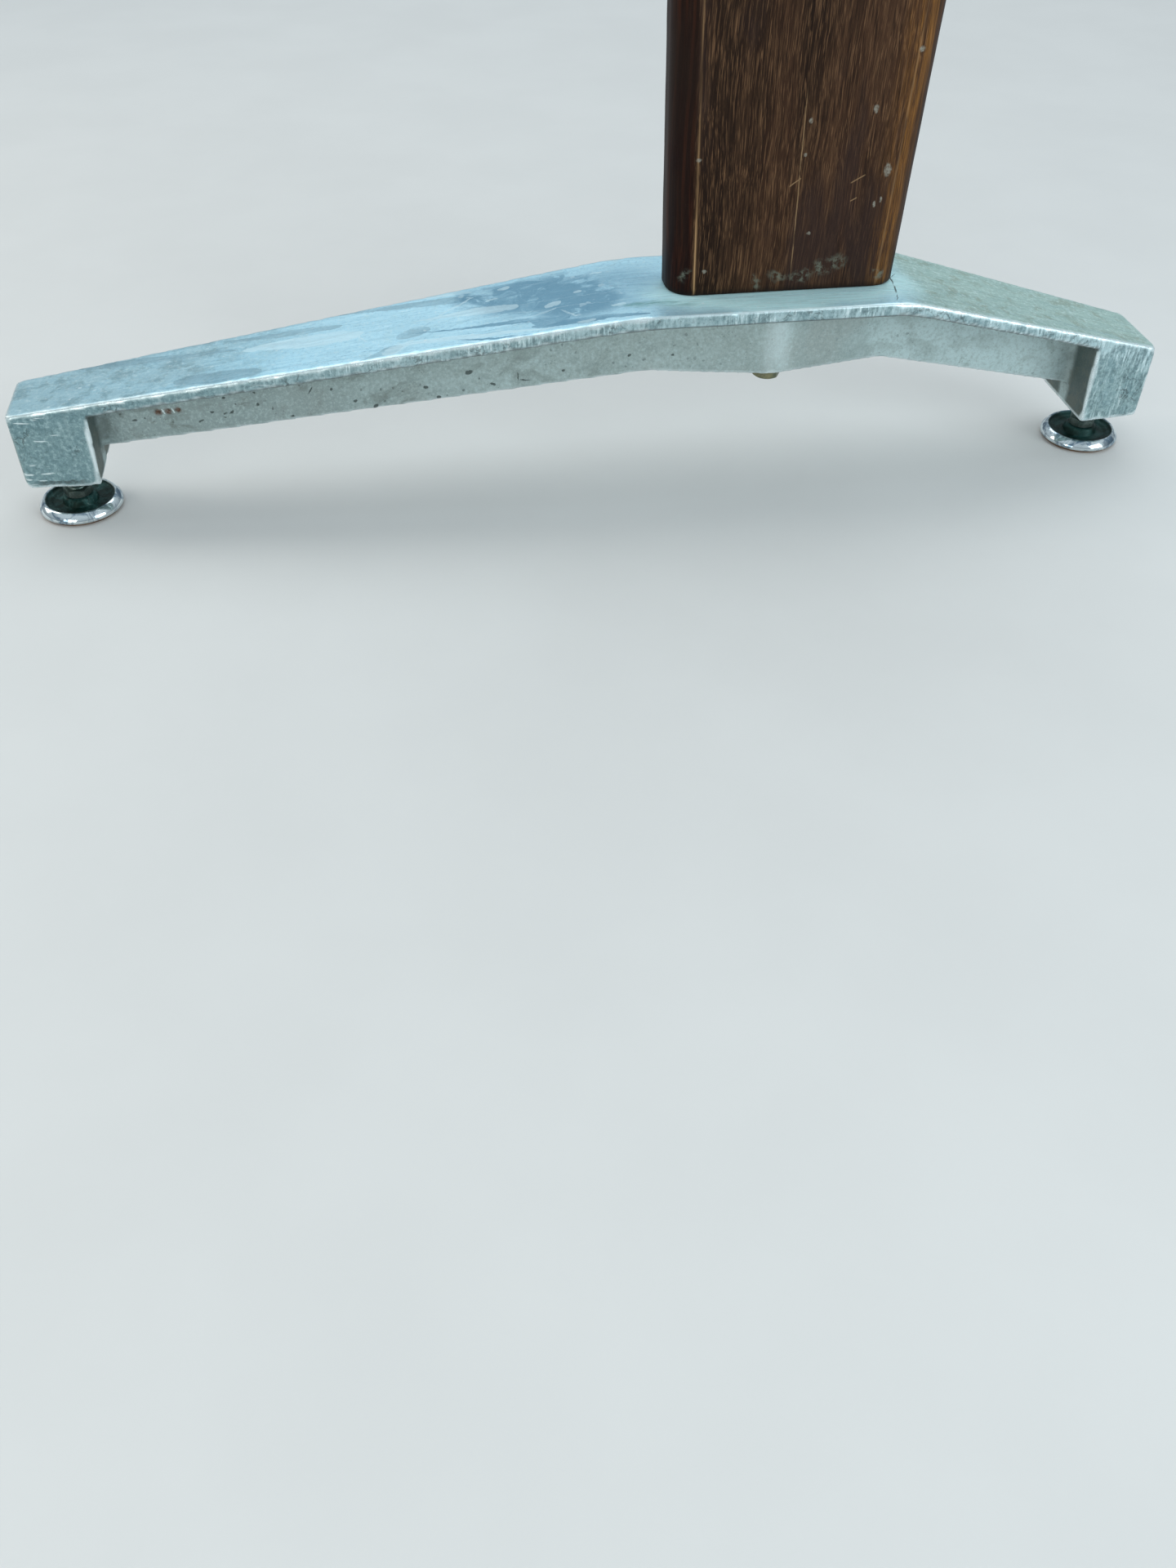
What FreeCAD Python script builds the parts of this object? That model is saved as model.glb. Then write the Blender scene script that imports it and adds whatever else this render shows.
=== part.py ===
import FreeCAD, Part
import math
import os

import Sketcher

# One upright of a stand: a cast aluminium foot with a long and a short arm, a flared hardwood
# post bolted to it, a cast bracket on top of the post and a screw-adjusted glide under each arm.
# Millimetres. +Z is up and +X runs along the foot towards its short arm. The origin is on the
# floor, midway between the two glides.

NODES_FOLDER = "parts"

SIZES = {
    # foot casting, seen from the side
    "glide_span": 548.0,
    "post_offset": 86.0,
    "left_overhang": 19.0,
    "right_overhang": 18.0,
    "left_block_length": 38.0,
    "right_block_length": 36.0,
    "block_height": 22.5,
    "block_draft": 1.8,
    "end_height": 61.0,
    "pad_height": 100.0,
    "pad_left": 75.0,
    "pad_right": 59.0,
    "flange_edge": 6.6,
    "left_fold_radius": 260.0,
    "right_fold_radius": 90.0,
    # foot casting, seen from above
    "pad_width": 74.0,
    "left_end_width": 38.0,
    "right_end_width": 43.5,
    "plan_fold_radius": 200.0,
    "end_corner_radius": 3.0,
    "edge_radius": 1.2,
    # web and hub under the flange
    "web_thickness": 7.0,
    "web_hub_height": 57.0,
    "web_end_height": 34.5,
    "hub_left": 65.0,
    "hub_right": 60.0,
    "hub_width": 31.4,
    "hub_nose_shift": 2.0,
    "hub_nose_radius": 14.0,
    "web_root_radius": 4.0,
    # post
    "post_width": 115.0,
    "post_top_width": 151.0,
    "post_depth": 32.0,
    "post_length": 604.0,
    "post_corner_radius": 13.0,
    # bolts, washers, inserts and pins that hold the post
    "bolt_diameter": 8.0,
    "bolt_clearance": 0.5,
    "bolt_head_across": 13.0,
    "bolt_head_height": 5.3,
    "bolt_chamfer_share": 0.8,
    "bolt_face_share": 0.95,
    "bolt_insert_reach": 21.0,
    "spot_face_diameter": 18.0,
    "spot_face_depth": 1.4,
    "washer_outer": 16.0,
    "washer_thickness": 1.6,
    "spring_washer_outer": 14.8,
    "spring_washer_thickness": 2.0,
    "spring_washer_slit": 1.6,
    "insert_outer": 12.5,
    "insert_length": 25.0,
    "thread_clearance": 0.08,
    "bolt_end_room": 6.0,
    "pin_diameter": 6.0,
    "pin_spacing": 72.0,
    "pin_metal_depth": 10.0,
    "pin_wood_depth": 14.0,
    "pin_clearance": 0.04,
    # top bracket
    "bracket_length": 300.0,
    "bracket_end_width": 40.0,
    "bracket_edge": 6.6,
    "bracket_thickness": 16.0,
    "bracket_seat_margin": 6.0,
    "bracket_rib_end_depth": 6.0,
    "bracket_rib_inset": 10.0,
    "bracket_rib_setback": 2.0,
    "head_recess_diameter": 22.0,
    "head_recess_depth": 9.4,
    "screw_hole_diameter": 6.5,
    "screw_spacing_long": 260.0,
    "screw_spacing_short": 22.0,
    # glides: chromed cap on a brown cushion, screwed stem and lock nut
    "cap_diameter": 42.0,
    "cap_height": 6.5,
    "cap_crest_radius": 17.9,
    "cap_floor_height": 3.9,
    "cap_boss_height": 8.0,
    "cap_skirt_height": 1.2,
    "cap_skirt_gap": 0.1,
    "cap_foot_inset": 0.6,
    "cap_foot_rise": 0.8,
    "cap_rim_inset": 0.3,
    "cap_rim_rise": 2.0,
    "cap_crest_width": 0.9,
    "cap_crest_outer_drop": 0.6,
    "cap_crest_inner_drop": 0.4,
    "cap_wall_inset": 1.6,
    "cap_wall_foot": 1.0,
    "cap_ledge_inset": 3.4,
    "cap_ledge_height": 0.7,
    "cap_floor_inset": 4.2,
    "cap_boss_foot_width": 1.7,
    "cap_boss_top_width": 0.2,
    "cushion_diameter": 39.0,
    "cushion_thickness": 2.6,
    "cushion_edge_cut": 0.5,
    "stem_diameter": 10.0,
    "stem_neck_diameter": 8.0,
    "stem_head_diameter": 15.2,
    "stem_head_thickness": 1.6,
    "stem_head_play": 0.05,
    "stem_hex_across": 13.0,
    "stem_hex_height": 4.6,
    "stem_hex_overlap": 1.0,
    "stem_end_chamfer": 1.0,
    "stem_reach": 25.0,
    "glide_retract": 4.5,
    "stem_bore_room": 2.0,
    "lock_nut_across": 16.0,
    "lock_nut_thickness": 5.0,
    # how far a cutting tool runs on past the face it has cut through
    "run_out": 1.0,
}

# how closely two places must agree, and how square to an axis an edge must run, to be picked
SAME_PLACE = 0.05
SAME_POINT = 1e-6
SQUARE = 0.99
TRULY_SQUARE = 0.999
ROUGHLY_SQUARE = 0.9

# places along the foot, as expressions on the sheet
FOOT_LEFT = "(-size.glide_span / 2 - size.left_overhang)"
FOOT_RIGHT = "(size.glide_span / 2 + size.right_overhang)"
FOLD_LEFT = "(size.post_offset - size.pad_left)"
FOLD_RIGHT = "(size.post_offset + size.pad_right)"
LEFT_BLOCK_INNER = f"({FOOT_LEFT} + size.left_block_length)"
RIGHT_BLOCK_INNER = f"({FOOT_RIGHT} - size.right_block_length)"
ARM_RISE = "(size.pad_height - size.end_height)"
LEFT_ARM_UNDER = (f"(size.end_height - size.flange_edge + {ARM_RISE} * size.left_block_length"
                  f" / ({FOLD_LEFT} - {FOOT_LEFT}))")
RIGHT_ARM_UNDER = (f"(size.end_height - size.flange_edge + {ARM_RISE} * size.right_block_length"
                   f" / ({FOOT_RIGHT} - {FOLD_RIGHT}))")
PAD_UNDER = "(size.pad_height - size.flange_edge)"
SPOT_FACE = "(size.web_hub_height + size.spot_face_depth)"

# heights up the post, as expressions on the sheet
POST_TOP = "(size.pad_height + size.post_length)"
STAND_TOP = f"({POST_TOP} + size.bracket_thickness)"
FLANGE_UNDER = f"({STAND_TOP} - size.bracket_edge)"
SEAT_HALF = "(size.post_top_width / 2 + size.bracket_seat_margin)"
STACK = "(size.washer_thickness + size.spring_washer_thickness)"
RECESS_FLOOR = f"({STAND_TOP} - size.head_recess_depth)"

# heights up a glide, as expressions on the sheet
HEX_BOTTOM = "size.cap_boss_height"
STEM_TOP = "(size.block_height + size.stem_reach)"
HEAD_BOTTOM = "(size.cushion_thickness + size.stem_head_play)"
HEAD_TOP = f"({HEAD_BOTTOM} + size.stem_head_thickness)"

doc = FreeCAD.newDocument("offset_foot_upright")
size = doc.addObject("Spreadsheet::Sheet", "size")
for row, (alias, number) in enumerate(SIZES.items(), start=1):
    size.set(f"A{row}", alias)
    size.set(f"B{row}", str(number))
    size.setAlias(f"B{row}", alias)
probe = doc.addObject("App::FeaturePython", "probe")
probe.addProperty("App::PropertyFloat", "reading")
doc.recompute()


def new_body(name):
    body = doc.addObject("PartDesign::Body", name)
    body.Label = name
    return body


def new_sketch(body, name, role, offset="0"):
    """A sketch on one of the body's own origin planes, moved along that plane's normal."""
    plane = [item for item in body.Origin.OriginFeatures if item.Role == role][0]
    sketch = body.newObject("Sketcher::SketchObject", f"{body.Name}_{name}")
    sketch.AttachmentSupport = (plane, [""])
    sketch.MapMode = "FlatFace"
    sketch.setExpression("AttachmentOffset.Base.z", offset)
    return sketch


def reading(expression):
    """The number that a sheet expression has now."""
    probe.setExpression("reading", expression)
    doc.recompute([probe])
    return probe.reading


def pin_point(sketch, geometry, vertex, across, along):
    """Holds one point of a sketch at two sheet expressions."""
    for kind, expression in (("DistanceX", across), ("DistanceY", along)):
        index = sketch.addConstraint(Sketcher.Constraint(kind, geometry, vertex, reading(expression)))
        sketch.setExpression(f"Constraints[{index}]", expression)


def unit(vector):
    return vector / vector.Length


def tangent_arc(before, corner, after, radius):
    """The arc of a radius that eases a corner, and the two points where it meets the sides."""
    back = unit(before - corner)
    onward = unit(after - corner)
    half_angle = back.getAngle(onward) / 2
    setback = radius / math.tan(half_angle)
    centre = corner + unit(back + onward) * (radius / math.sin(half_angle))
    start = corner + back * setback
    end = corner + onward * setback
    crown = centre + unit(corner - centre) * radius
    return Part.Arc(start, crown, end), start, end


def outline(sketch, corners):
    """A closed outline through corners given as sheet expressions: across, along and, where the
    corner is eased, the radius of the arc that eases it."""
    points = [FreeCAD.Vector(reading(corner[0]), reading(corner[1]), 0) for corner in corners]
    count = len(corners)
    starts = list(points)
    ends = list(points)
    arcs = {}
    for i, corner in enumerate(corners):
        if len(corner) == 3:
            arcs[i], ends[i], starts[i] = tangent_arc(points[i - 1], points[i], points[(i + 1) % count],
                                                      reading(corner[2]))
    sides = [sketch.addGeometry(Part.LineSegment(starts[i], ends[(i + 1) % count])) for i in range(count)]
    for i, corner in enumerate(corners):
        before, after = sides[i - 1], sides[i]
        if i not in arcs:
            sketch.addConstraint(Sketcher.Constraint("Coincident", before, 2, after, 1))
            pin_point(sketch, after, 1, corner[0], corner[1])
            continue
        ease_corner(sketch, arcs[i], ends[i], before, after, points[i], corner)


def ease_corner(sketch, arc, arc_start, before, after, point, corner):
    """Joins two sides by a tangent arc, and keeps the corner itself as a construction point."""
    bend = sketch.addGeometry(arc)
    first, last = (1, 2) if sketch.getPoint(bend, 1).isEqual(arc_start, SAME_POINT) else (2, 1)
    sharp = sketch.addGeometry(Part.Point(point), True)
    pin_point(sketch, sharp, 1, corner[0], corner[1])
    for side in (before, after):
        sketch.addConstraint(Sketcher.Constraint("PointOnObject", sharp, 1, side))
    sketch.addConstraint(Sketcher.Constraint("Tangent", before, 2, bend, first))
    sketch.addConstraint(Sketcher.Constraint("Tangent", bend, last, after, 1))
    index = sketch.addConstraint(Sketcher.Constraint("Radius", bend, reading(corner[2])))
    sketch.setExpression(f"Constraints[{index}]", corner[2])


def circle(sketch, across, along, diameter):
    centre = FreeCAD.Vector(reading(across), reading(along), 0)
    width = reading(diameter)
    index = sketch.addGeometry(Part.Circle(centre, FreeCAD.Vector(0, 0, 1), width / 2))
    pin_point(sketch, index, 3, across, along)
    bound = sketch.addConstraint(Sketcher.Constraint("Diameter", index, width))
    sketch.setExpression(f"Constraints[{bound}]", diameter)


def hexagon(sketch, across_flats):
    corner = f"({across_flats} / sqrt(3))"
    flat = f"({across_flats} / 2)"
    outline(sketch, [(corner, "0"), (f"{corner} / 2", flat), (f"-{corner} / 2", flat),
                     (f"-{corner}", "0"), (f"-{corner} / 2", f"-{flat}"), (f"{corner} / 2", f"-{flat}")])


def pad(body, sketch, length, symmetric=False, down=False):
    feature = body.newObject("PartDesign::Pad", f"{sketch.Name}_pad")
    feature.Profile = sketch
    feature.setExpression("Length", length)
    feature.SideType = "Symmetric" if symmetric else "One side"
    feature.Reversed = down
    doc.recompute()
    return feature


def pocket(body, sketch, depth=None, up=False):
    """Cuts down from the sketch, or up from it, to a depth or all the way through."""
    before = body.Shape.Volume
    feature = body.newObject("PartDesign::Pocket", f"{sketch.Name}_pocket")
    feature.Profile = sketch
    feature.Reversed = up
    if depth is None:
        feature.Type = "ThroughAll"
    else:
        feature.setExpression("Length", depth)
    doc.recompute()
    if feature.Shape.Volume >= before:
        raise RuntimeError(f"{feature.Name} cuts nothing")
    return feature


def turn(body, name, corners):
    """A solid of revolution about Z from an outline in radius and height."""
    sketch = new_sketch(body, name, "XZ_Plane")
    outline(sketch, corners)
    feature = body.newObject("PartDesign::Revolution", f"{sketch.Name}_turned")
    feature.Profile = sketch
    feature.ReferenceAxis = (sketch, ["V_Axis"])
    doc.recompute()
    return feature


def groove(body, name, corners):
    """Turns material away about Z inside an outline in radius and height."""
    before = body.Shape.Volume
    sketch = new_sketch(body, name, "XZ_Plane")
    outline(sketch, corners)
    feature = body.newObject("PartDesign::Groove", f"{sketch.Name}_cut")
    feature.Profile = sketch
    feature.ReferenceAxis = (sketch, ["V_Axis"])
    doc.recompute()
    if feature.Shape.Volume >= before:
        raise RuntimeError(f"{feature.Name} cuts nothing")
    return feature


def round_edges(body, name, radius, wanted):
    """Rounds the edges of the body's last feature for which wanted(edge) is true."""
    base = body.Tip
    chosen = [f"Edge{i}" for i, edge in enumerate(base.Shape.Edges, start=1) if wanted(edge)]
    if not chosen:
        raise RuntimeError(f"{body.Name}_{name} finds no edge")
    feature = body.newObject("PartDesign::Fillet", f"{body.Name}_{name}")
    feature.Base = (base, chosen)
    feature.setExpression("Radius", radius)
    doc.recompute()
    return feature


def near(a, b, within=SAME_PLACE):
    return abs(a - b) < within


def middle(edge):
    return edge.valueAt((edge.FirstParameter + edge.LastParameter) / 2)


def direction(edge):
    """Unit vector from one end of an edge to the other, or a null vector if it closes."""
    ends = edge.Vertexes
    if len(ends) < 2:
        return FreeCAD.Vector(0, 0, 0)
    span = ends[1].Point - ends[0].Point
    return span / span.Length


def upright(edge):
    return abs(direction(edge).z) > TRULY_SQUARE


def place(body, across="0", height="0"):
    body.setExpression("Placement.Base.x", across)
    body.setExpression("Placement.Base.z", height)
    doc.recompute()


# the foot casting

def foot_ends():
    """Where the foot's two end faces stand along X."""
    return (-size.glide_span / 2 - size.left_overhang, size.glide_span / 2 + size.right_overhang)


def arm_and_pad_profile(body):
    """Flange and both end blocks as one side profile, as wide as the pad."""
    sketch = new_sketch(body, "side", "XZ_Plane")
    outline(sketch, [
        (FOOT_LEFT, "size.block_height"),
        (FOOT_LEFT, "size.end_height"),
        (FOLD_LEFT, "size.pad_height", "size.left_fold_radius"),
        (FOLD_RIGHT, "size.pad_height", "size.right_fold_radius"),
        (FOOT_RIGHT, "size.end_height"),
        (FOOT_RIGHT, "size.block_height"),
        (f"{RIGHT_BLOCK_INNER} + size.block_draft", "size.block_height"),
        (RIGHT_BLOCK_INNER, RIGHT_ARM_UNDER),
        (FOLD_RIGHT, PAD_UNDER, "size.right_fold_radius"),
        (FOLD_LEFT, PAD_UNDER, "size.left_fold_radius"),
        (LEFT_BLOCK_INNER, LEFT_ARM_UNDER),
        (f"{LEFT_BLOCK_INNER} - size.block_draft", "size.block_height"),
    ])
    pad(body, sketch, "size.pad_width", symmetric=True)


def trim_to_plan(body):
    """Tapers the flange from the pad to the two ends, seen from above, with eased folds."""
    plan = new_body("foot_plan")
    sketch = new_sketch(plan, "outline", "XY_Plane")
    outline(sketch, [
        (FOOT_LEFT, "-size.left_end_width / 2"),
        (FOLD_LEFT, "-size.pad_width / 2", "size.plan_fold_radius"),
        (FOLD_RIGHT, "-size.pad_width / 2", "size.plan_fold_radius"),
        (FOOT_RIGHT, "-size.right_end_width / 2"),
        (FOOT_RIGHT, "size.right_end_width / 2"),
        (FOLD_RIGHT, "size.pad_width / 2", "size.plan_fold_radius"),
        (FOLD_LEFT, "size.pad_width / 2", "size.plan_fold_radius"),
        (FOOT_LEFT, "size.left_end_width / 2"),
    ])
    pad(plan, sketch, "size.pad_height")
    round_edges(plan, "end_corners", "size.end_corner_radius",
                lambda edge: upright(edge) and any(near(middle(edge).x, x) for x in foot_ends()))
    common = body.newObject("PartDesign::Boolean", "foot_casting_in_plan")
    common.Type = "Common"
    common.setObjects([plan])
    doc.recompute()


def add_web(body):
    """The upright plate under the flange, from block to block."""
    sketch = new_sketch(body, "web", "XZ_Plane")
    inside = "size.flange_edge / 2"
    outline(sketch, [
        (f"{LEFT_BLOCK_INNER} - {inside}", "size.web_end_height"),
        ("size.post_offset - size.hub_left", "size.web_hub_height"),
        ("size.post_offset + size.hub_right", "size.web_hub_height"),
        (f"{RIGHT_BLOCK_INNER} + {inside}", "size.web_end_height"),
        (f"{RIGHT_BLOCK_INNER} + {inside}", RIGHT_ARM_UNDER),
        (FOLD_RIGHT, f"{PAD_UNDER} + {inside}"),
        (FOLD_LEFT, f"{PAD_UNDER} + {inside}"),
        (f"{LEFT_BLOCK_INNER} - {inside}", LEFT_ARM_UNDER),
    ])
    pad(body, sketch, "size.web_thickness", symmetric=True)


def add_hub(body):
    """The web swells to a diamond under the pad, round at its nose, to take the post's bolt."""
    sketch = new_sketch(body, "hub", "XY_Plane", "size.web_hub_height")
    flank = "size.web_thickness / 2"
    nose = "size.hub_width / 2"
    left = "size.post_offset - size.hub_left"
    right = "size.post_offset + size.hub_right"
    crown = "size.post_offset - size.hub_nose_shift"
    outline(sketch, [(left, f"-{flank}"), (crown, f"-{nose}", "size.hub_nose_radius"),
                     (right, f"-{flank}"), (right, flank),
                     (crown, nose, "size.hub_nose_radius"), (left, flank)])
    pad(body, sketch, f"{PAD_UNDER} + size.flange_edge / 2 - size.web_hub_height")


def round_foot(body):
    """Softens the corners and edges that the foundry and the file leave."""
    ends = foot_ends()
    inner = (ends[0] + size.left_block_length, ends[1] - size.right_block_length)
    half_web = size.web_thickness / 2
    round_edges(body, "web_roots", "size.web_root_radius",
                lambda edge: abs(direction(edge).z) > SQUARE and near(abs(middle(edge).y), half_web)
                and any(near(middle(edge).x, x, size.block_draft) for x in inner))
    round_edges(body, "top_edges", "size.edge_radius", is_top_edge)


def is_top_edge(edge):
    """True for the rim of the flange's top face: its long sides and its two ends."""
    point = middle(edge)
    across_the_foot = abs(direction(edge).y) > SQUARE
    if across_the_foot and not any(near(point.x, x) for x in foot_ends()):
        return False
    return point.z > top_height(point.x) - size.edge_radius


def top_height(across):
    """Height of the flange's top face, with its folds taken as sharp."""
    ends = foot_ends()
    folds = (size.post_offset - size.pad_left, size.post_offset + size.pad_right)
    rise = size.pad_height - size.end_height
    if across < folds[0]:
        return size.end_height + rise * (across - ends[0]) / (folds[0] - ends[0])
    if across > folds[1]:
        return size.end_height + rise * (ends[1] - across) / (ends[1] - folds[1])
    return size.pad_height


def bore_foot(body):
    """Bolt hole through the hub, pin holes in the pad and a blind bore up each end block."""
    bolt = new_sketch(body, "bolt_hole", "XY_Plane", "size.pad_height")
    circle(bolt, "size.post_offset", "0", "size.bolt_diameter + 2 * size.bolt_clearance")
    pocket(body, bolt, "size.pad_height - size.block_height")
    spot = new_sketch(body, "spot_face", "XY_Plane", "size.web_hub_height")
    circle(spot, "size.post_offset", "0", "size.spot_face_diameter")
    pocket(body, spot, "size.spot_face_depth", up=True)
    pins = new_sketch(body, "pin_holes", "XY_Plane", "size.pad_height")
    for sign in ("-", "+"):
        circle(pins, f"size.post_offset {sign} size.pin_spacing / 2", "0",
               "size.pin_diameter + 2 * size.pin_clearance")
    pocket(body, pins, "size.pin_metal_depth")
    stems = new_sketch(body, "stem_bores", "XY_Plane", "size.block_height")
    for sign in ("-", "+"):
        circle(stems, f"{sign}size.glide_span / 2", "0", "size.stem_diameter + 2 * size.thread_clearance")
    pocket(body, stems, "size.stem_reach + size.glide_retract + size.stem_bore_room", up=True)


def foot_casting():
    body = new_body("foot_casting")
    arm_and_pad_profile(body)
    trim_to_plan(body)
    add_web(body)
    add_hub(body)
    round_foot(body)
    bore_foot(body)
    return body


# the post and the bushes in its ends

def upright_post():
    """A flat hardwood board on end, wider at the top, with round corners up its full length."""
    body = new_body("upright_post")
    face = new_sketch(body, "face", "XZ_Plane")
    outline(face, [("-size.post_width / 2", "0"), ("size.post_width / 2", "0"),
                   ("size.post_top_width / 2", "size.post_length"),
                   ("-size.post_top_width / 2", "size.post_length")])
    pad(body, face, "size.post_depth", symmetric=True)
    round_edges(body, "corners", "size.post_corner_radius",
                lambda edge: abs(direction(edge).z) > ROUGHLY_SQUARE)
    for end, level, up in (("bottom", "0", True), ("top", "size.post_length", False)):
        room = new_sketch(body, f"{end}_bolt_hole", "XY_Plane", level)
        circle(room, "0", "0", "size.bolt_diameter + 2 * size.bolt_clearance")
        pocket(body, room, "size.insert_length + size.bolt_end_room", up=up)
        seat = new_sketch(body, f"{end}_insert_hole", "XY_Plane", level)
        circle(seat, "0", "0", "size.insert_outer + 2 * size.pin_clearance")
        pocket(body, seat, "size.insert_length", up=up)
        pins = new_sketch(body, f"{end}_pin_holes", "XY_Plane", level)
        for sign in ("-", "+"):
            circle(pins, f"{sign}size.pin_spacing / 2", "0", "size.pin_diameter + 2 * size.pin_clearance")
        pocket(body, pins, "size.pin_wood_depth", up=up)
    place(body, "size.post_offset", "size.pad_height")
    return body


def thread_insert(name, base):
    """Brass bush sunk in the end grain, bored for the bolt."""
    body = new_body(name)
    inner = "(size.bolt_diameter / 2 + size.thread_clearance)"
    outer = "(size.insert_outer / 2)"
    turn(body, "bush", [(inner, "0"), (outer, "0"), (outer, "size.insert_length"),
                        (inner, "size.insert_length")])
    place(body, "size.post_offset", base)
    return body


# bolts, washers and pins

def hex_bolt(name, seat, grip, head_down):
    """Hex head bolt. seat is the height of the face that its head pulls on; grip is the shank."""
    body = new_body(name)
    sketch = new_sketch(body, "head", "XY_Plane")
    hexagon(sketch, "size.bolt_head_across")
    pad(body, sketch, "size.bolt_head_height", down=True)
    corner = "(size.bolt_head_across / sqrt(3))"
    flat = "(size.bolt_head_across / 2)"
    outside = f"({corner} + size.run_out)"
    chamfer_top = f"(-size.bolt_head_height + ({corner} - {flat}) * size.bolt_chamfer_share)"
    groove(body, "chamfer", [(f"{flat} * size.bolt_face_share", "-size.bolt_head_height"),
                             (outside, "-size.bolt_head_height"),
                             (outside, f"{chamfer_top} + size.run_out"),
                             (corner, chamfer_top)])
    shank = new_sketch(body, "shank", "XY_Plane")
    circle(shank, "0", "0", "size.bolt_diameter")
    pad(body, shank, grip)
    if not head_down:
        body.Placement.Rotation = FreeCAD.Rotation(FreeCAD.Vector(1, 0, 0), 180)
    place(body, "size.post_offset", seat)
    return body


def flat_washer(name, base):
    body = new_body(name)
    sketch = new_sketch(body, "ring", "XY_Plane")
    circle(sketch, "0", "0", "size.washer_outer")
    circle(sketch, "0", "0", "size.bolt_diameter + size.bolt_clearance")
    pad(body, sketch, "size.washer_thickness")
    place(body, "size.post_offset", base)
    return body


def spring_washer(name, base):
    body = new_body(name)
    sketch = new_sketch(body, "ring", "XY_Plane")
    circle(sketch, "0", "0", "size.spring_washer_outer")
    circle(sketch, "0", "0", "size.bolt_diameter + size.bolt_clearance")
    pad(body, sketch, "size.spring_washer_thickness")
    slit = new_sketch(body, "slit", "XY_Plane", "size.spring_washer_thickness")
    half = "size.spring_washer_slit / 2"
    outline(slit, [("0", f"-{half}"), ("size.spring_washer_outer", f"-{half}"),
                   ("size.spring_washer_outer", half), ("0", half)])
    pocket(body, slit)
    place(body, "size.post_offset", base)
    return body


def locating_pins(name, base):
    """Two steel pins, half in metal and half in the end grain, that stop the post from turning."""
    body = new_body(name)
    sketch = new_sketch(body, "ends", "XY_Plane")
    for sign in ("-", "+"):
        circle(sketch, f"{sign}size.pin_spacing / 2", "0", "size.pin_diameter")
    pad(body, sketch, "size.pin_metal_depth + size.pin_wood_depth")
    place(body, "size.post_offset", base)
    return body


# the top bracket

def top_bracket():
    """Flat-topped casting in the style of the foot: tapered flange, ribs and a seat for the post."""
    body = new_body("top_bracket")
    add_bracket_flange(body)
    add_bracket_seat(body)
    add_bracket_ribs(body)
    round_edges(body, "flange_corners", "size.end_corner_radius",
                lambda edge: upright(edge) and near(abs(middle(edge).x), size.bracket_length / 2))
    round_edges(body, "top_edges", "size.edge_radius", is_bracket_rim)
    bore_bracket(body)
    place(body, "size.post_offset")
    return body


def add_bracket_flange(body):
    flange = new_sketch(body, "flange", "XY_Plane", FLANGE_UNDER)
    end = "size.bracket_length / 2"
    half_end = "size.bracket_end_width / 2"
    half_pad = "size.pad_width / 2"
    outline(flange, [(f"-{end}", f"-{half_end}"), (f"-{SEAT_HALF}", f"-{half_pad}"),
                     (SEAT_HALF, f"-{half_pad}"), (end, f"-{half_end}"), (end, half_end),
                     (SEAT_HALF, half_pad), (f"-{SEAT_HALF}", half_pad), (f"-{end}", half_end)])
    pad(body, flange, "size.bracket_edge")


def add_bracket_seat(body):
    """Block under the flange, round at its corners like the post that it sits on."""
    seat = new_sketch(body, "seat", "XY_Plane", POST_TOP)
    half_seat = "(size.post_depth / 2 + size.bracket_seat_margin)"
    outline(seat, [(f"-{SEAT_HALF}", f"-{half_seat}"), (SEAT_HALF, f"-{half_seat}"),
                   (SEAT_HALF, half_seat), (f"-{SEAT_HALF}", half_seat)])
    pad(body, seat, "size.bracket_thickness - size.bracket_edge / 2")
    round_edges(body, "seat_corners", "size.post_corner_radius",
                lambda edge: upright(edge) and near(abs(middle(edge).y),
                                                    size.post_depth / 2 + size.bracket_seat_margin))


def add_bracket_ribs(body):
    """A rib along the middle of each wing, from the seat out towards the wing's end."""
    ribs = new_sketch(body, "ribs", "XZ_Plane")
    rib_end = "(size.bracket_length / 2 - size.bracket_rib_inset)"
    rib_root = f"({SEAT_HALF} - size.bracket_rib_setback)"
    rib_end_under = f"({FLANGE_UNDER} - size.bracket_rib_end_depth)"
    inside = f"({FLANGE_UNDER} + size.bracket_edge / 2)"
    outline(ribs, [(f"-{rib_end}", rib_end_under), (f"-{rib_root}", POST_TOP),
                   (rib_root, POST_TOP), (rib_end, rib_end_under),
                   (rib_end, inside), (f"-{rib_end}", inside)])
    pad(body, ribs, "size.web_thickness", symmetric=True)


def is_bracket_rim(edge):
    top = size.pad_height + size.post_length + size.bracket_thickness
    return near(middle(edge).z, top) and all(near(vertex.Z, top) for vertex in edge.Vertexes)


def bore_bracket(body):
    """Recess and hole for the bolt, pin holes from below and four screw holes for what it carries."""
    recess = new_sketch(body, "head_recess", "XY_Plane", STAND_TOP)
    circle(recess, "0", "0", "size.head_recess_diameter")
    pocket(body, recess, "size.head_recess_depth")
    bolt = new_sketch(body, "bolt_hole", "XY_Plane", STAND_TOP)
    circle(bolt, "0", "0", "size.bolt_diameter + 2 * size.bolt_clearance")
    pocket(body, bolt, "size.bracket_thickness + size.run_out")
    pins = new_sketch(body, "pin_holes", "XY_Plane", POST_TOP)
    for sign in ("-", "+"):
        circle(pins, f"{sign}size.pin_spacing / 2", "0", "size.pin_diameter + 2 * size.pin_clearance")
    pocket(body, pins, "size.pin_metal_depth", up=True)
    screws = new_sketch(body, "screw_holes", "XY_Plane", STAND_TOP)
    for long_sign in ("-", "+"):
        for short_sign in ("-", "+"):
            circle(screws, f"{long_sign}size.screw_spacing_long / 2",
                   f"{short_sign}size.screw_spacing_short / 2", "size.screw_hole_diameter")
    pocket(body, screws, "size.bracket_edge + size.run_out")


# the glides

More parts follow.
